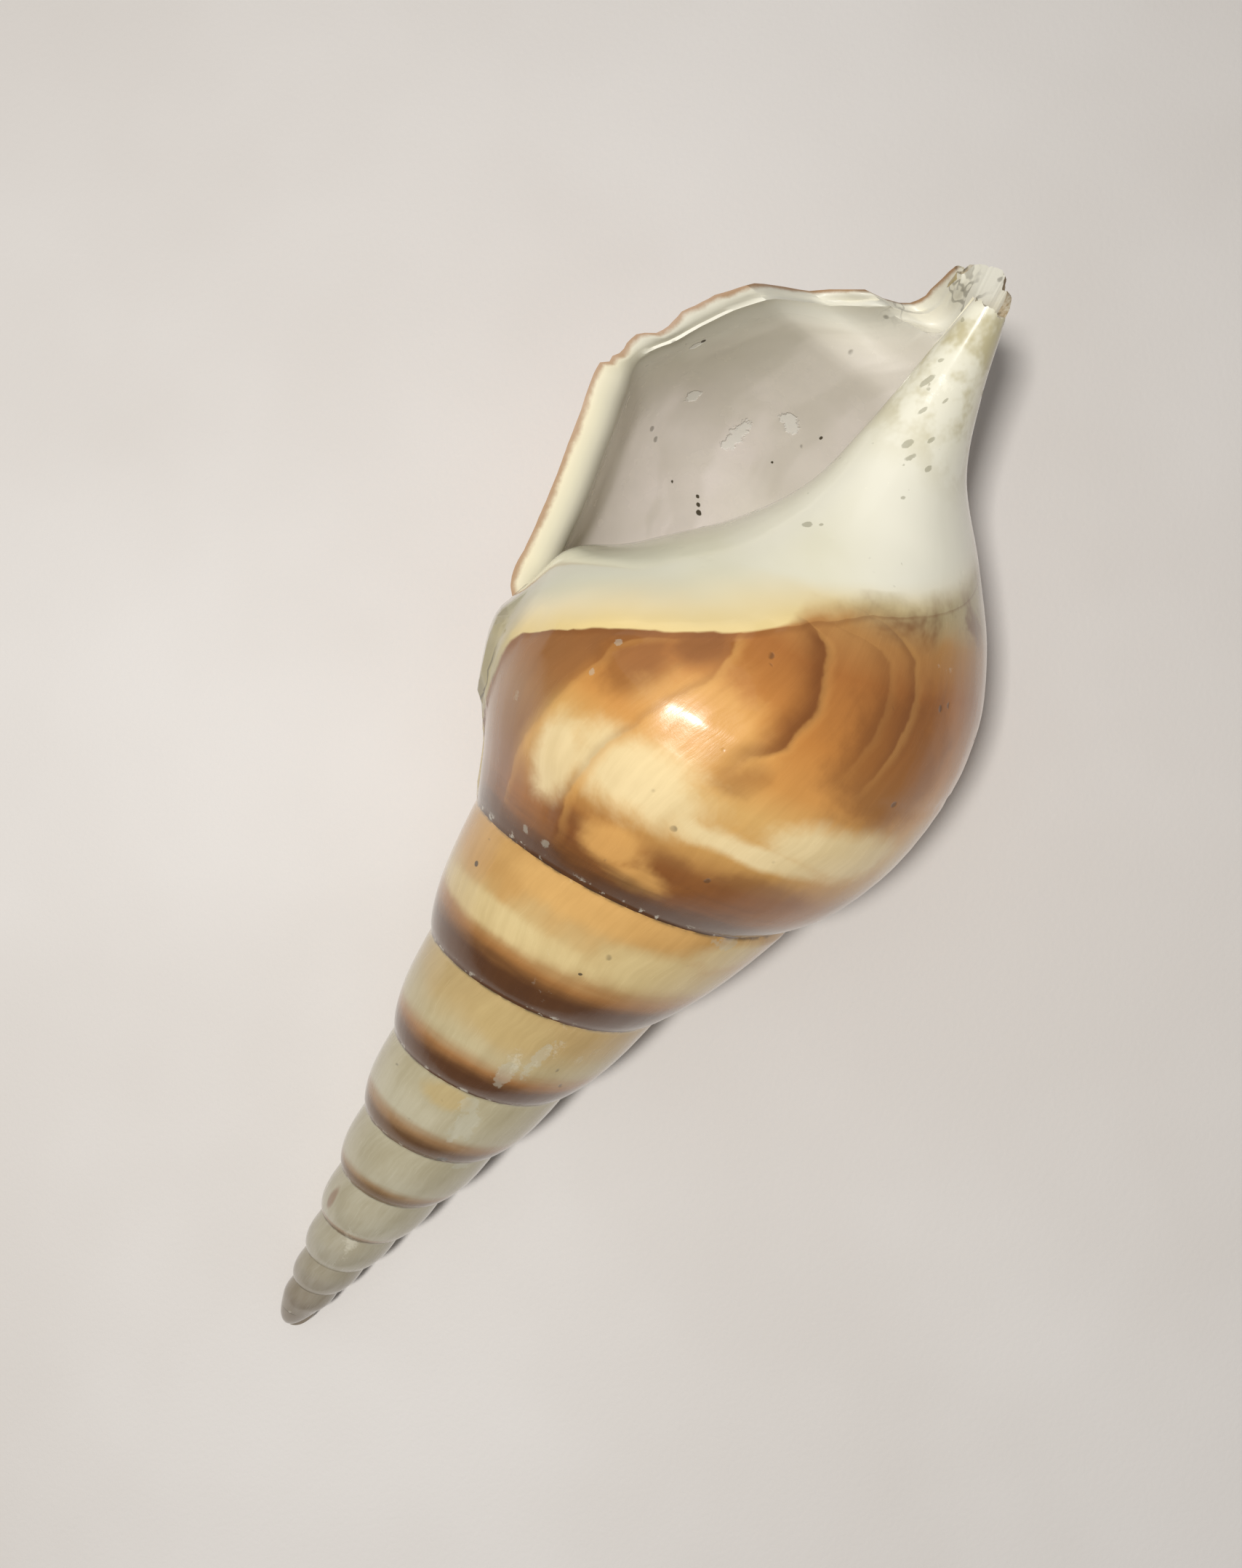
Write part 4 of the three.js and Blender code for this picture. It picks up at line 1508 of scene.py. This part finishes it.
@dataclass
class Effects:
    """All node groups, each built once."""

    growth: GrowthLines = field(default_factory=GrowthLines)
    band: SutureBand = field(default_factory=SutureBand)
    patch: SoftPatch = field(default_factory=SoftPatch)
    spot: Spot = field(default_factory=Spot)
    cracks: Cracks = field(default_factory=Cracks)
    old_lip: OldLip = field(default_factory=OldLip)
    wear: Wear = field(default_factory=Wear)
    porcelain: Porcelain = field(default_factory=Porcelain)


# ---------------------------------------------------------------- finishes
def new_material(name: str) -> tuple[bpy.types.Material, Tree, bpy.types.Node]:
    """Start a material with one Principled BSDF.

    Args:
        name: The material's name.

    Returns:
        The material, its tree and the shader.
    """
    material = bpy.data.materials.new(name)
    material.use_nodes = True
    tree = Tree(material.node_tree)
    return material, tree, material.node_tree.nodes["Principled BSDF"]


@dataclass(frozen=True)
class BandedFinish:
    """The outside: dark suture bands, cream and orange zones, old lips, and the glazed callus."""

    oldest: float = -9.5
    widest: float = 2.2
    dark: Colour = srgb(88, 50, 12)
    dark_old: Colour = srgb(110, 78, 34)
    rust: Colour = srgb(164, 102, 36)
    rust_old: Colour = srgb(150, 112, 66)
    straw: Colour = srgb(198, 174, 120)
    butter: Colour = srgb(226, 202, 146)
    umber: Colour = srgb(122, 70, 28)
    cream: Colour = srgb(250, 228, 176)
    gold: Colour = srgb(234, 178, 100)
    # chalk: worn chalky white for scuffs, also used for the painted glints on the suture edge.
    chalk: Colour = srgb(226, 220, 200)
    scar: Colour = srgb(204, 202, 184)
    # soot: dark brown for pits, pinholes, and the suture seam's dirt and painted shade.
    soot: Colour = srgb(52, 44, 34)
    neck: Colour = srgb(188, 172, 130)
    flap: Colour = srgb(158, 146, 112)
    spire: tuple = (
        (0.0, srgb(140, 128, 112)), (0.14, srgb(152, 142, 126)), (0.24, srgb(172, 164, 146)),
        (0.34, srgb(182, 175, 153)), (0.46, srgb(188, 180, 155)), (0.58, srgb(194, 186, 160)),
        (0.68, srgb(196, 183, 146)), (0.78, srgb(208, 184, 130)), (0.86, srgb(218, 188, 130)),
        (1.0, srgb(226, 194, 130)))
    spire_front: tuple = (
        (0.0, srgb(140, 128, 112)), (0.3, srgb(182, 174, 151)), (0.5, srgb(184, 175, 147)),
        (0.62, srgb(190, 179, 146)), (0.7, srgb(196, 170, 118)), (0.79, srgb(206, 160, 94)),
        (1.0, srgb(208, 156, 86)))
    body: tuple = (
        (0.0, srgb(104, 60, 24)), (0.05, srgb(120, 72, 30)), (0.1, srgb(148, 94, 42)),
        (0.16, srgb(176, 120, 58)), (0.24, srgb(212, 162, 90)), (0.34, srgb(226, 180, 108)),
        (0.42, srgb(216, 154, 80)), (0.52, srgb(204, 136, 64)), (0.66, srgb(176, 112, 52)),
        (0.76, srgb(190, 140, 80)), (0.86, srgb(204, 184, 138)), (1.0, srgb(214, 204, 172)))

    def make(self, effects: Effects) -> bpy.types.Material:
        """Build the material.

        Args:
            effects: The node groups.

        Returns:
            The material.
        """
        material, tree, shader = new_material("banded shell")
        place = tree.place()
        turn, across = tree.mark("turn"), tree.mark("across")
        growth = effects.growth.use(tree, Turn=turn, Across=across)
        band = effects.band.use(tree, Turn=turn, Across=across, Ragged=0.55)
        wear = effects.wear.use(tree, Place=place, Amount=0.45)
        colour = self._ground(tree, turn, across, wear["Cloud"])
        rust = tree.mix(tree.step(turn, -4.6, -2.4), self.rust_old, self.rust)
        colour = tree.mix(tree.times(band["Rust"], 0.85), colour, rust)
        colour = self._patches(tree, effects, place, turn, colour)
        colour = self._old_lips(tree, effects, place, across, colour)
        dark = tree.mix(tree.step(turn, -5.2, -2.6), self.dark_old, self.dark)
        colour = tree.mix(band["Dark"], colour, dark)
        colour = self._spots(tree, effects, place, colour)
        colour = self._neck(tree, place, across, colour)
        shade = tree.mix(growth["Fine"], (0.955, 0.945, 0.925), (1.02, 1.02, 1.02))
        colour = tree.mix(1.0, colour, shade, "MULTIPLY")
        shade = tree.mix(growth["Broad"], (0.93, 0.91, 0.87), (1.03, 1.03, 1.03))
        colour = tree.mix(1.0, colour, shade, "MULTIPLY")
        # Dirt and painted shade in the suture crease, broken up by noise, in soot brown.
        seam = tree.times(band["Seam"], tree.step(tree.noise(place, 500.0, 3.0), 0.35, 0.6))
        colour = tree.mix(tree.times(seam, 0.6), colour, self.soot)
        # Painted highlight: tiny white glints dotted along the suture's edge, mixed in chalk white.
        flecks = tree.times(tree.step(across, 0.0, 0.012), tree.step(across, 0.055, 0.02),
                            tree.step(tree.noise(place, 820.0, 3.0, 0.6), 0.57, 0.64))
        colour = tree.mix(tree.times(flecks, 0.55), colour, self.chalk)
        colour = tree.mix(tree.times(wear["Scuffs"], 0.35), colour, self.chalk)
        colour = tree.mix(tree.times(wear["Pinholes"], 0.5), colour, self.soot)
        glazed, colour = self._callus(tree, effects, place, colour)
        tree.feed(shader.inputs["Base Color"], colour)
        rough = tree.add(tree.times(growth["Fine"], 0.05), tree.times(wear["Scuffs"], 0.3),
                         tree.times(tree.noise(place, 300.0, 3.0), 0.14), 0.15)
        tree.feed(shader.inputs["Roughness"],
                  tree.math("MAXIMUM", tree.less(rough, tree.times(glazed, 0.06)), 0.1))
        tree.feed(shader.inputs["Coat Weight"], tree.times(tree.less(1.0, wear["Scuffs"]), 0.8))
        shader.inputs["Coat Roughness"].default_value = 0.07
        shader.inputs["Specular IOR Level"].default_value = 0.5
        height = tree.add(tree.times(growth["Height"], 0.5), tree.times(wear["Height"], 0.7))
        height = tree.times(height, tree.step(glazed, 0.0, 1.0, 1.0, 0.2))
        tree.feed(shader.inputs["Normal"], tree.bump(height, 0.00009, 0.8))
        return material

    def _ground(self, tree: Tree, turn: object, across: object, cloud: object) -> object:
        """The zones under all patches and bands.

        Args:
            tree: The material's tree.
            turn: The station.
            across: Place across the whorl.
            cloud: Slow noise.

        Returns:
            The colour.
        """
        age = tree.math("DIVIDE", tree.less(turn, self.oldest), -self.oldest, limit=True)
        front = tree.step(tree.add(across, tree.times(tree.less(cloud, 0.5), 0.9)), 0.45, 0.8)
        spire = tree.mix(front, tree.ramp(age, self.spire), tree.ramp(age, self.spire_front))
        wobble = tree.times(tree.less(cloud, 0.5), 0.14)
        body = tree.ramp(tree.add(tree.math("DIVIDE", across, self.widest), wobble), self.body)
        return tree.mix(tree.step(turn, -1.25, -0.98), spire, body)

    def _patches(self, tree: Tree, effects: Effects, place: object, turn: object, colour: object) -> object:
        """Cream, gold and umber patches.

        Args:
            tree: The material's tree.
            effects: The node groups.
            place: The point's place.
            turn: The station.
            colour: The colour below.

        Returns:
            The colour.
        """
        gold = tree.mix(tree.step(turn, -3.0, -1.1), self.straw, self.gold)
        cream = tree.mix(tree.step(turn, -1.35, -0.97), self.butter, self.cream)
        for tone, tint, strength in ((Tone.UMBER, self.umber, 0.58), (Tone.GOLD, gold, 0.75),
                                     (Tone.CREAM, cream, 0.85)):
            mask = effects.patch.use(tree, Depth=tree.mark(tone.value), Place=place, Ragged=0.9,
                                     Low=-0.15, High=0.55)["Mask"]
            colour = tree.mix(tree.times(mask, strength), colour, tint)
        return colour

    def _old_lips(self, tree: Tree, effects: Effects, place: object, across: object,
                  colour: object) -> object:
        """The umber stretch before the first old lip, and each old lip's line.

        Args:
            tree: The material's tree.
            effects: The node groups.
            place: The point's place.
            across: Place across the whorl.
            colour: The colour below.

        Returns:
            The colour.
        """
        first = tree.times(tree.step(tree.mark("beyond_0"), 0.9, -1.6),
                           tree.step(tree.mark("turn"), -1.0, -0.99),
                           tree.step(across, 0.12, 0.3), tree.step(across, 1.5, 1.2))
        shade = tree.mix(tree.noise(place, 70.0, 3.0), srgb(112, 70, 38), srgb(168, 112, 62))
        colour = tree.mix(tree.times(first, 0.82), colour, shade)
        for number, stop in enumerate(GROWTH_STOPS):
            lip = effects.old_lip.use(tree, Beyond=tree.mark(f"beyond_{number}"),
                                      Reach=tree.mark(f"reach_{number}"), Place=place, Width=stop.width)
            colour = tree.mix(tree.times(lip["Dark"], stop.dark), colour, self.umber)
            colour = tree.mix(tree.times(lip["Pale"], stop.pale), colour, self.gold)
        return colour

    def _spots(self, tree: Tree, effects: Effects, place: object, colour: object) -> object:
        """Worn chalky spots and dark pits.

        Args:
            tree: The material's tree.
            effects: The node groups.
            place: The point's place.
            colour: The colour below.

        Returns:
            The colour.
        """
        marks = ((Tone.CHALK, self.scar, 3.0, 0.36), (Tone.SOOT, self.soot, 1.0, 0.85))
        for tone, tint, ragged, strength in marks:
            mask = effects.spot.all(tree, SPOTS, tone, place, ragged)
            colour = tree.mix(tree.times(mask, strength), colour, tint)
        return colour

    def _neck(self, tree: Tree, place: object, across: object, colour: object) -> object:
        """The neck, where the colour fades to a greyish cream with brown streaks.

        Args:
            tree: The material's tree.
            place: The point's place.
            across: Place across the whorl.
            colour: The colour below.

        Returns:
            The colour.
        """
        cloud = tree.noise(place, 120.0, 4.0, 0.6, 0.4)
        bare = tree.step(tree.add(across, tree.times(tree.less(cloud, 0.5), 0.35)), 1.66, 1.86)
        streaks = tree.times(tree.step(cloud, 0.5, 0.68), tree.step(across, 2.1, 1.7))
        neck = tree.mix(tree.times(streaks, 0.85), self.neck, self.umber)
        return tree.mix(bare, colour, neck)

    def _callus(self, tree: Tree, effects: Effects, place: object, colour: object) -> tuple[object, object]:
        """The callus and its broken flap, over the colour.

        Args:
            tree: The material's tree.
            effects: The node groups.
            place: The point's place.
            colour: The colour below.

        Returns:
            How glazed it is, and the colour.
        """
        inside = tree.mark("callus")
        glaze = effects.porcelain.use(tree, Place=place, Along=tree.mark("along"), Edge=inside)
        shadow = tree.times(tree.step(inside, -1.1, -0.1), tree.step(inside, 0.1, 0.0))
        colour = tree.mix(tree.times(shadow, 0.35), colour, self.umber)
        along = tree.mark("along")
        fade = tree.times(tree.step(along, 108, 117, 0.0, 4.5), tree.step(inside, 11.0, 7.0))
        cloud = tree.less(tree.noise(place, 160.0, 4.0, 0.6, 0.3), 0.5)
        level = tree.add(inside, tree.times(cloud, fade, 2.2))
        glazed = tree.step(level, tree.less(-0.05, tree.times(fade, 0.1)),
                           tree.add(0.3, tree.times(fade, 1.9)))
        moss = effects.spot.all(tree, GLAZE_SPOTS, Tone.SOOT, place, 1.4)
        near = tree.times(tree.step(tree.mark("flap"), -5.0, -0.5), 0.75)
        glaze_colour = tree.mix(near, glaze["Colour"], srgb(168, 158, 118))
        broken = effects.cracks.use(tree, Place=place, Scale=85.0, Amount=tree.step(along, 138, 142))
        glaze_colour = tree.mix(tree.times(broken["Grime"], 0.4), glaze_colour, srgb(168, 156, 122))
        glaze_colour = tree.mix(tree.times(broken["Mask"], 0.6), glaze_colour, srgb(96, 88, 70))
        glaze_colour = tree.mix(tree.times(moss, 0.5), glaze_colour, srgb(132, 126, 92))
        colour = tree.mix(glazed, colour, glaze_colour)
        flap = tree.step(tree.mark("flap"), -0.1, 0.25)
        grey = tree.mix(tree.noise(place, 240.0, 4.0, 0.6), srgb(128, 114, 80), srgb(186, 174, 134))
        crack = tree.times(tree.step(tree.mark("flap"), -0.35, -0.12),
                           tree.step(tree.mark("flap"), 0.1, -0.06),
                           tree.step(along, 91, 88), 0.7)
        colour = tree.mix(crack, tree.mix(tree.times(flap, 0.6), colour, grey), srgb(84, 74, 52))
        return tree.math("MAXIMUM", glazed, flap), colour


@dataclass(frozen=True)
class HollowFinish:
    """The inside: a brown outer edge, a cream lip, then grey-green and lilac-white porcelain; the dimmer
    grey-green just inside the lip is partly the porcelain's own tint and partly painted shade where the wall
    turns steep.
    """

    edge: Colour = srgb(158, 112, 62)
    chalk: Colour = srgb(240, 236, 226)
    speck: Colour = srgb(84, 76, 62)
    # Colour by depth inside the lip: cream to lilac-white, with a dip from 0.085 to 0.14 that is partly
    # painted shade of the steepening wall.
    depth: tuple = (
        (0.0, srgb(238, 224, 184)), (0.045, srgb(234, 226, 196)), (0.085, srgb(218, 212, 194)),
        (0.14, srgb(224, 217, 200)),
        (0.24, srgb(230, 222, 206)), (0.4, srgb(240, 230, 220)), (0.7, srgb(244, 233, 226)),
        (1.0, srgb(232, 222, 210)))
    deepest: float = 40.0

    def make(self, effects: Effects) -> bpy.types.Material:
        """Build the material.

        Args:
            effects: The node groups.

        Returns:
            The material.
        """
        material, tree, shader = new_material("porcelain hollow")
        place, inward = tree.place(), tree.mark("inward")
        wear = effects.wear.use(tree, Place=place, Amount=0.25)
        growth = effects.growth.use(tree, Turn=tree.mark("turn"), Across=tree.mark("across"), Lines=60.0)
        # Depth colour, including the painted shade just inside the lip.
        colour = tree.ramp(tree.math("DIVIDE", inward, self.deepest, limit=True), self.depth)
        front = tree.times(tree.step(tree.mark("along"), 117, 124), tree.step(inward, 9.0, 4.0))
        colour = tree.mix(tree.times(front, 0.8), colour, srgb(232, 228, 212))
        colour = tree.mix(tree.times(tree.step(wear["Cloud"], 0.4, 0.7), 0.45), colour, srgb(214, 208, 188))
        streaks = tree.times(tree.step(growth["Broad"], 0.3, 0.9), tree.step(inward, 3.5, 7.0), 0.25)
        colour = tree.mix(streaks, colour, srgb(188, 180, 160))
        ragged = tree.add(inward, tree.times(tree.less(tree.noise(place, 420.0, 4.0, 0.7), 0.5), 1.0))
        colour = tree.mix(tree.step(ragged, 0.2, 1.0, 0.88, 0.0), colour, self.edge)
        colour = tree.mix(tree.times(wear["Scuffs"], 0.5), colour, self.chalk)
        colour = tree.mix(tree.times(wear["Pinholes"], 0.5), colour, self.speck)
        broken = effects.cracks.use(tree, Place=place, Scale=85.0,
                                    Amount=tree.step(tree.mark("along"), 138, 143))
        colour = tree.mix(tree.times(broken["Grime"], 0.4), colour, srgb(168, 156, 122))
        colour = tree.mix(tree.times(broken["Mask"], 0.5), colour, self.speck)
        chips = effects.spot.all(tree, HOLLOW_SPOTS, Tone.CHALK, place, 2.4)
        colour = tree.mix(tree.times(chips, 0.75), colour, self.chalk)
        colour = tree.mix(effects.spot.all(tree, HOLLOW_SPOTS, Tone.SOOT, place, 1.6), colour, self.speck)
        tree.feed(shader.inputs["Base Color"], colour)
        rough = tree.add(tree.times(tree.noise(place, 240.0, 3.0), 0.2), tree.times(wear["Scuffs"], 0.3),
                         tree.step(inward, 6.0, 3.0, 0.0, 0.22), 0.16)
        tree.feed(shader.inputs["Roughness"], rough)
        tree.feed(shader.inputs["Coat Weight"], tree.step(inward, 3.0, 7.0, 0.05, 0.3))
        shader.inputs["Coat Roughness"].default_value = 0.1
        height = tree.add(tree.times(wear["Height"], 0.6), tree.times(growth["Height"], 0.3),
                          tree.times(chips, -1.5))
        tree.feed(shader.inputs["Normal"], tree.bump(height, 0.0001, 0.6))
        return material


@dataclass(frozen=True)
class BrokenFinish:
    """Bare broken edges: chalky, layered, with grey and yellow stains."""

    chalk: Colour = srgb(222, 212, 186)
    stain: Colour = srgb(158, 126, 78)
    grime: Colour = srgb(100, 88, 66)

    def make(self, effects: Effects) -> bpy.types.Material:
        """Build the material.

        Args:
            effects: The node groups.

        Returns:
            The material.
        """
        material, tree, shader = new_material("broken edge")
        place = tree.place()
        wear = effects.wear.use(tree, Place=place, Amount=0.8)
        cloud = tree.noise(place, 260.0, 5.0, 0.65, 0.5)
        colour = tree.mix(tree.step(cloud, 0.45, 0.65), self.chalk, self.stain)
        dirt = tree.times(tree.step(tree.noise(place, 700.0, 4.0), 0.56, 0.66), 0.7)
        colour = tree.mix(dirt, colour, self.grime)
        tree.feed(shader.inputs["Base Color"], colour)
        tree.feed(shader.inputs["Roughness"], tree.step(cloud, 0.3, 0.7, 0.45, 0.75))
        tree.feed(shader.inputs["Normal"], tree.bump(tree.add(cloud, wear["Height"]), 0.0003, 0.8))
        return material


@dataclass(frozen=True)
class FloorFinish:
    """A plain pale matt floor."""

    light: Colour = srgb(232, 226, 219)
    dark: Colour = srgb(224, 217, 209)

    def make(self) -> bpy.types.Material:
        """Build the material.

        Returns:
            The material.
        """
        material, tree, shader = new_material("pale floor")
        cloud = tree.noise(tree.place(), 9.0, 4.0)
        tree.feed(shader.inputs["Base Color"], tree.mix(tree.step(cloud, 0.35, 0.65), self.light, self.dark))
        tree.feed(shader.inputs["Roughness"], tree.step(cloud, 0.3, 0.7, 0.6, 0.7))
        grain = tree.noise(tree.place(), 1400.0, 3.0)
        tree.feed(shader.inputs["Normal"], tree.bump(grain, 0.0001, 0.4))
        return material


# ---------------------------------------------------------------- the shell as an object
@dataclass
class TibiaShell:
    """The whole shell: its form, its weathering, its place on the floor and its finishes."""

    form: ShellForm = field(default_factory=ShellForm)
    rest_tilt: float = math.radians(14.36)
    axis_height: float = 1.565
    sharp_angle: float = math.radians(55)
    apex_zone: float = 6.0
    apex_rounds: int = 40
    inset: float = 0.02

    def build(self) -> bpy.types.Object:
        """Build the mesh and its carried values.

        Returns:
            The shell.
        """
        skin = self.form.build()
        points, marks = np.vstack(skin.points), np.vstack(skin.marks)
        mesh = bpy.data.meshes.new("tibia_shell")
        mesh.from_pydata(points.tolist(), [], skin.faces)
        normals = np.zeros(len(points) * 3)
        mesh.vertex_normals.foreach_get("vector", normals)
        worn, callus, flap = self._weather(points, marks, normals.reshape(-1, 3))
        edges = np.zeros(len(mesh.edges) * 2, int)
        mesh.edges.foreach_get("vertices", edges)
        worn = self._round_apex(worn, edges.reshape(-1, 2))
        mesh.vertices.foreach_set("co", self._lay_down(worn, points).ravel())
        carried = {"along": marks[:, 1], "inward": marks[:, 3], "callus": callus, "flap": flap}
        for name, values in carried.items():
            self._carry(mesh, name, values, "POINT")
        self._carry_places(mesh, skin, points)
        mesh.polygons.foreach_set("material_index", skin.zones)
        mesh.shade_smooth()
        mesh.set_sharp_from_angle(angle=self.sharp_angle)
        mesh.update()
        shell = bpy.data.objects.new("tibia_shell", mesh)
        bpy.context.scene.collection.objects.link(shell)
        return shell

    def dress(self, shell: bpy.types.Object, effects: Effects) -> None:
        """Give each skin its finish, in the order of Zone."""
        for finish in (BandedFinish(), HollowFinish(), BrokenFinish()):
            shell.data.materials.append(finish.make(effects))

    def _weather(self, points: Array, marks: Array, normals: Array) -> tuple[Array, Array, Array]:
        """Move the smooth form's points to their worn places.

        Args:
            points: The smooth form's points.
            marks: Turn, x, zone and inward of each.
            normals: Their normals.

        Returns:
            The worn points, and each one's distance inside the callus and the flap.
        """
        weather = Weathering(self.form.spiral)
        turn, x, zone, inward = marks.T
        radius = np.hypot(points[:, 1], points[:, 2])
        outside = zone == Zone.OUTSIDE
        lift, callus, flap = np.zeros(len(points)), np.full(len(points), 12.0), np.full(len(points), -6.0)
        lift[outside], callus[outside], flap[outside] = weather.outside(
            points[outside], turn[outside], x[outside], radius[outside])
        hollow = zone == Zone.HOLLOW
        lift[hollow] = weather.hollow(points[hollow], inward[hollow])
        worn = points + normals * lift[:, None]
        pared = weather.chips(x, inward, turn, radius)[:, None]
        worn[:, 1:] -= worn[:, 1:] / np.maximum(radius, 1)[:, None] * pared * (turn > -0.3)[:, None]
        rim = self.form.wall.thickness(x, 0.0)
        worn[hollow, 2] -= weather.rim_drop(x, inward, turn, rim)[hollow]
        angle = weather.sinus(x, turn) * (zone != Zone.BROKEN)
        cos, sin = np.cos(angle), np.sin(angle)
        worn[:, 1], worn[:, 2] = worn[:, 1] * cos + worn[:, 2] * sin, worn[:, 2] * cos - worn[:, 1] * sin
        worn[:, 0] -= weather.tip(x, turn) * (turn > -1.6)
        return worn, callus, flap

    def _round_apex(self, points: Array, edges: Array) -> Array:
        """Relax the apex's points towards the middle of their neighbours.

        Args:
            points: The points, mm.
            edges: The mesh's edges.

        Returns:
            The relaxed points.
        """
        moving = points[:, 0] < self.apex_zone
        near = edges[moving[edges].any(axis=1)]
        count = np.maximum(np.bincount(near.ravel(), minlength=len(points)), 1)[:, None]
        strength = 0.5 * (1 - smooth(points[:, 0], self.apex_zone * 0.4, self.apex_zone))[:, None]
        for _ in range(self.apex_rounds):
            total = np.zeros_like(points)
            np.add.at(total, near[:, 0], points[near[:, 1]])
            np.add.at(total, near[:, 1], points[near[:, 0]])
            points = np.where(moving[:, None], lerp(points, total / count, strength), points)
        return points

    def _lay_down(self, points: Array, smooth_points: Array) -> Array:
        """Tilt the shell until it rests on its body whorl and apex, and centre it, in metres.

        Args:
            points: The worn points in the shell's frame, mm.
            smooth_points: The smooth form's points, whose box gives the middle.

        Returns:
            The points in the scene, kept inside the frame's box, with flats where it rests.
        """
        def tilted(places: Array) -> Array:
            """Turn about the Y axis and lift.

            Args:
                places: Points, mm.

            Returns:
                The points, tilted and lifted.
            """
            cos, sin = math.cos(self.rest_tilt), math.sin(self.rest_tilt)
            x, y, z = places.T
            return np.stack([x * cos - z * sin, y, x * sin + z * cos + self.axis_height], axis=1)

        low, high = (np.array(corner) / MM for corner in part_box(SHELL_NODE))
        reference = tilted(smooth_points)
        middle = (reference.min(axis=0) + reference.max(axis=0)) / 2
        placed = tilted(points)
        placed[:, :2] += ((low + high) / 2 - middle)[:2]
        placed[:, 2] = np.maximum(placed[:, 2], 0)
        room = np.array([self.inset, self.inset, 0])
        return np.clip(placed, low + room, high - self.inset) * MM

    @staticmethod
    def _carry(mesh: bpy.types.Mesh, name: str, values: Array, domain: str) -> None:
        """Store a value on each point or corner."""
        mesh.attributes.new(name, "FLOAT", domain).data.foreach_set("value", np.asarray(values, np.float32))

    def _carry_places(self, mesh: bpy.types.Mesh, skin: Skin, points: Array) -> None:
        """Store each corner's place on the spiral, its patches and its distance past each old lip.

        Args:
            mesh: The mesh.
            skin: Its corners' places.
            points: Its points in the shell's frame, mm.
        """
        corners = np.zeros(len(mesh.loops), int)
        mesh.loops.foreach_get("vertex_index", corners)
        radius = np.hypot(points[corners, 1], points[corners, 2])
        turn, across = np.array(skin.corner_turn), np.array(skin.corner_across)
        self._carry(mesh, "turn", turn, "CORNER")
        self._carry(mesh, "across", across, "CORNER")
        for tone in (Tone.CREAM, Tone.GOLD, Tone.UMBER):
            depths = [patch.depth(turn, across) for patch in PATCHES if patch.tone is tone]
            self._carry(mesh, tone.value, np.maximum(np.max(depths, axis=0), -1.5), "CORNER")
        for number, stop in enumerate(GROWTH_STOPS):
            beyond = np.where(turn > -1.0, stop.beyond(turn, across, radius), -20)
            self._carry(mesh, f"beyond_{number}", np.clip(beyond, -20, 20), "CORNER")
            self._carry(mesh, f"reach_{number}", stop.reach(across) * (turn > -1.0), "CORNER")


# ---------------------------------------------------------------- the setting
@dataclass(frozen=True)
class Studio:
    """Plain floor, soft light and the camera above."""

    floor_size: float = 3.0
    eye: tuple[float, float, float] = (0.00877, 0.00127, 0.1738)
    roll: float = math.radians(-55)
    lens: float = 31.2
    sensor: float = 36.0

    def floor(self) -> bpy.types.Object:
        """Build the floor.

        Returns:
            The floor.
        """
        half, steps = self.floor_size / 2, 8
        line = np.linspace(-half, half, steps + 1)
        points = [(x, y, 0.0) for y in line for x in line]
        row = steps + 1
        faces = [(n, n + 1, n + 1 + row, n + row) for n in range(row * steps) if (n + 1) % row]
        mesh = bpy.data.meshes.new("floor")
        mesh.from_pydata(points, [], faces)
        mesh.materials.append(FloorFinish().make())
        floor = bpy.data.objects.new("floor", mesh)
        bpy.context.scene.collection.objects.link(floor)
        return floor

    def camera(self) -> bpy.types.Object:
        """Set the camera straight above, rolled so that the shell lies slantwise.

        Returns:
            The camera.
        """
        data = bpy.data.cameras.new("camera")
        data.lens, data.sensor_width, data.sensor_fit = self.lens, self.sensor, "AUTO"
        data.clip_start = 0.01
        data.dof.use_dof = False
        camera = bpy.data.objects.new("camera", data)
        camera.location = self.eye
        camera.rotation_euler = (0.0, 0.0, self.roll)
        bpy.context.scene.collection.objects.link(camera)
        bpy.context.scene.camera = camera
        return camera

    def light(self, name: str, place: tuple[float, float, float], size: float, power: float) -> None:
        """A square soft light that faces the shell.

        Args:
            name: Its name.
            place: Where it hangs, metres.
            size: Its side, metres.
            power: Its power, watts.
        """
        data = bpy.data.lights.new(name, "AREA")
        data.size, data.energy = size, power
        lamp = bpy.data.objects.new(name, data)
        lamp.location = place
        aim = Vector((0.0, 0.0, 0.02)) - Vector(place)
        lamp.rotation_euler = aim.to_track_quat("-Z", "Y").to_euler()
        bpy.context.scene.collection.objects.link(lamp)

    def build(self) -> None:
        """Set everything up."""
        self.floor()
        self.camera()
        self.light("key", (-0.034, 0.058, 0.38), 0.04, 1.08)
        self.light("fill", (0.3, 0.4, 0.8), 0.9, 0.7)
        world = bpy.data.worlds.new("room")
        world.use_nodes = True
        background = world.node_tree.nodes["Background"]
        background.inputs["Color"].default_value = (*srgb(238, 238, 240), 1.0)
        background.inputs["Strength"].default_value = 0.2
        bpy.context.scene.world = world
        bpy.context.scene.view_settings.view_transform = "Standard"


def main() -> None:
    """Build the shell and its setting."""
    logging.basicConfig(level=logging.INFO, format="%(name)s: %(message)s")
    effects = Effects()
    LOG.info("effects: %d node groups", len(bpy.data.node_groups))
    tibia = TibiaShell()
    shell = tibia.build()
    LOG.info("shell: %d points, %d faces", len(shell.data.vertices), len(shell.data.polygons))
    tibia.dress(shell, effects)
    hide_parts(SHELL_NODE)
    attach(shell, ROOT_BODY)
    LOG.info("shell: dressed in %d finishes", len(shell.data.materials))
    Studio().build()
    LOG.info("studio: floor, camera and lights")


if __name__ == "__main__":
    main()
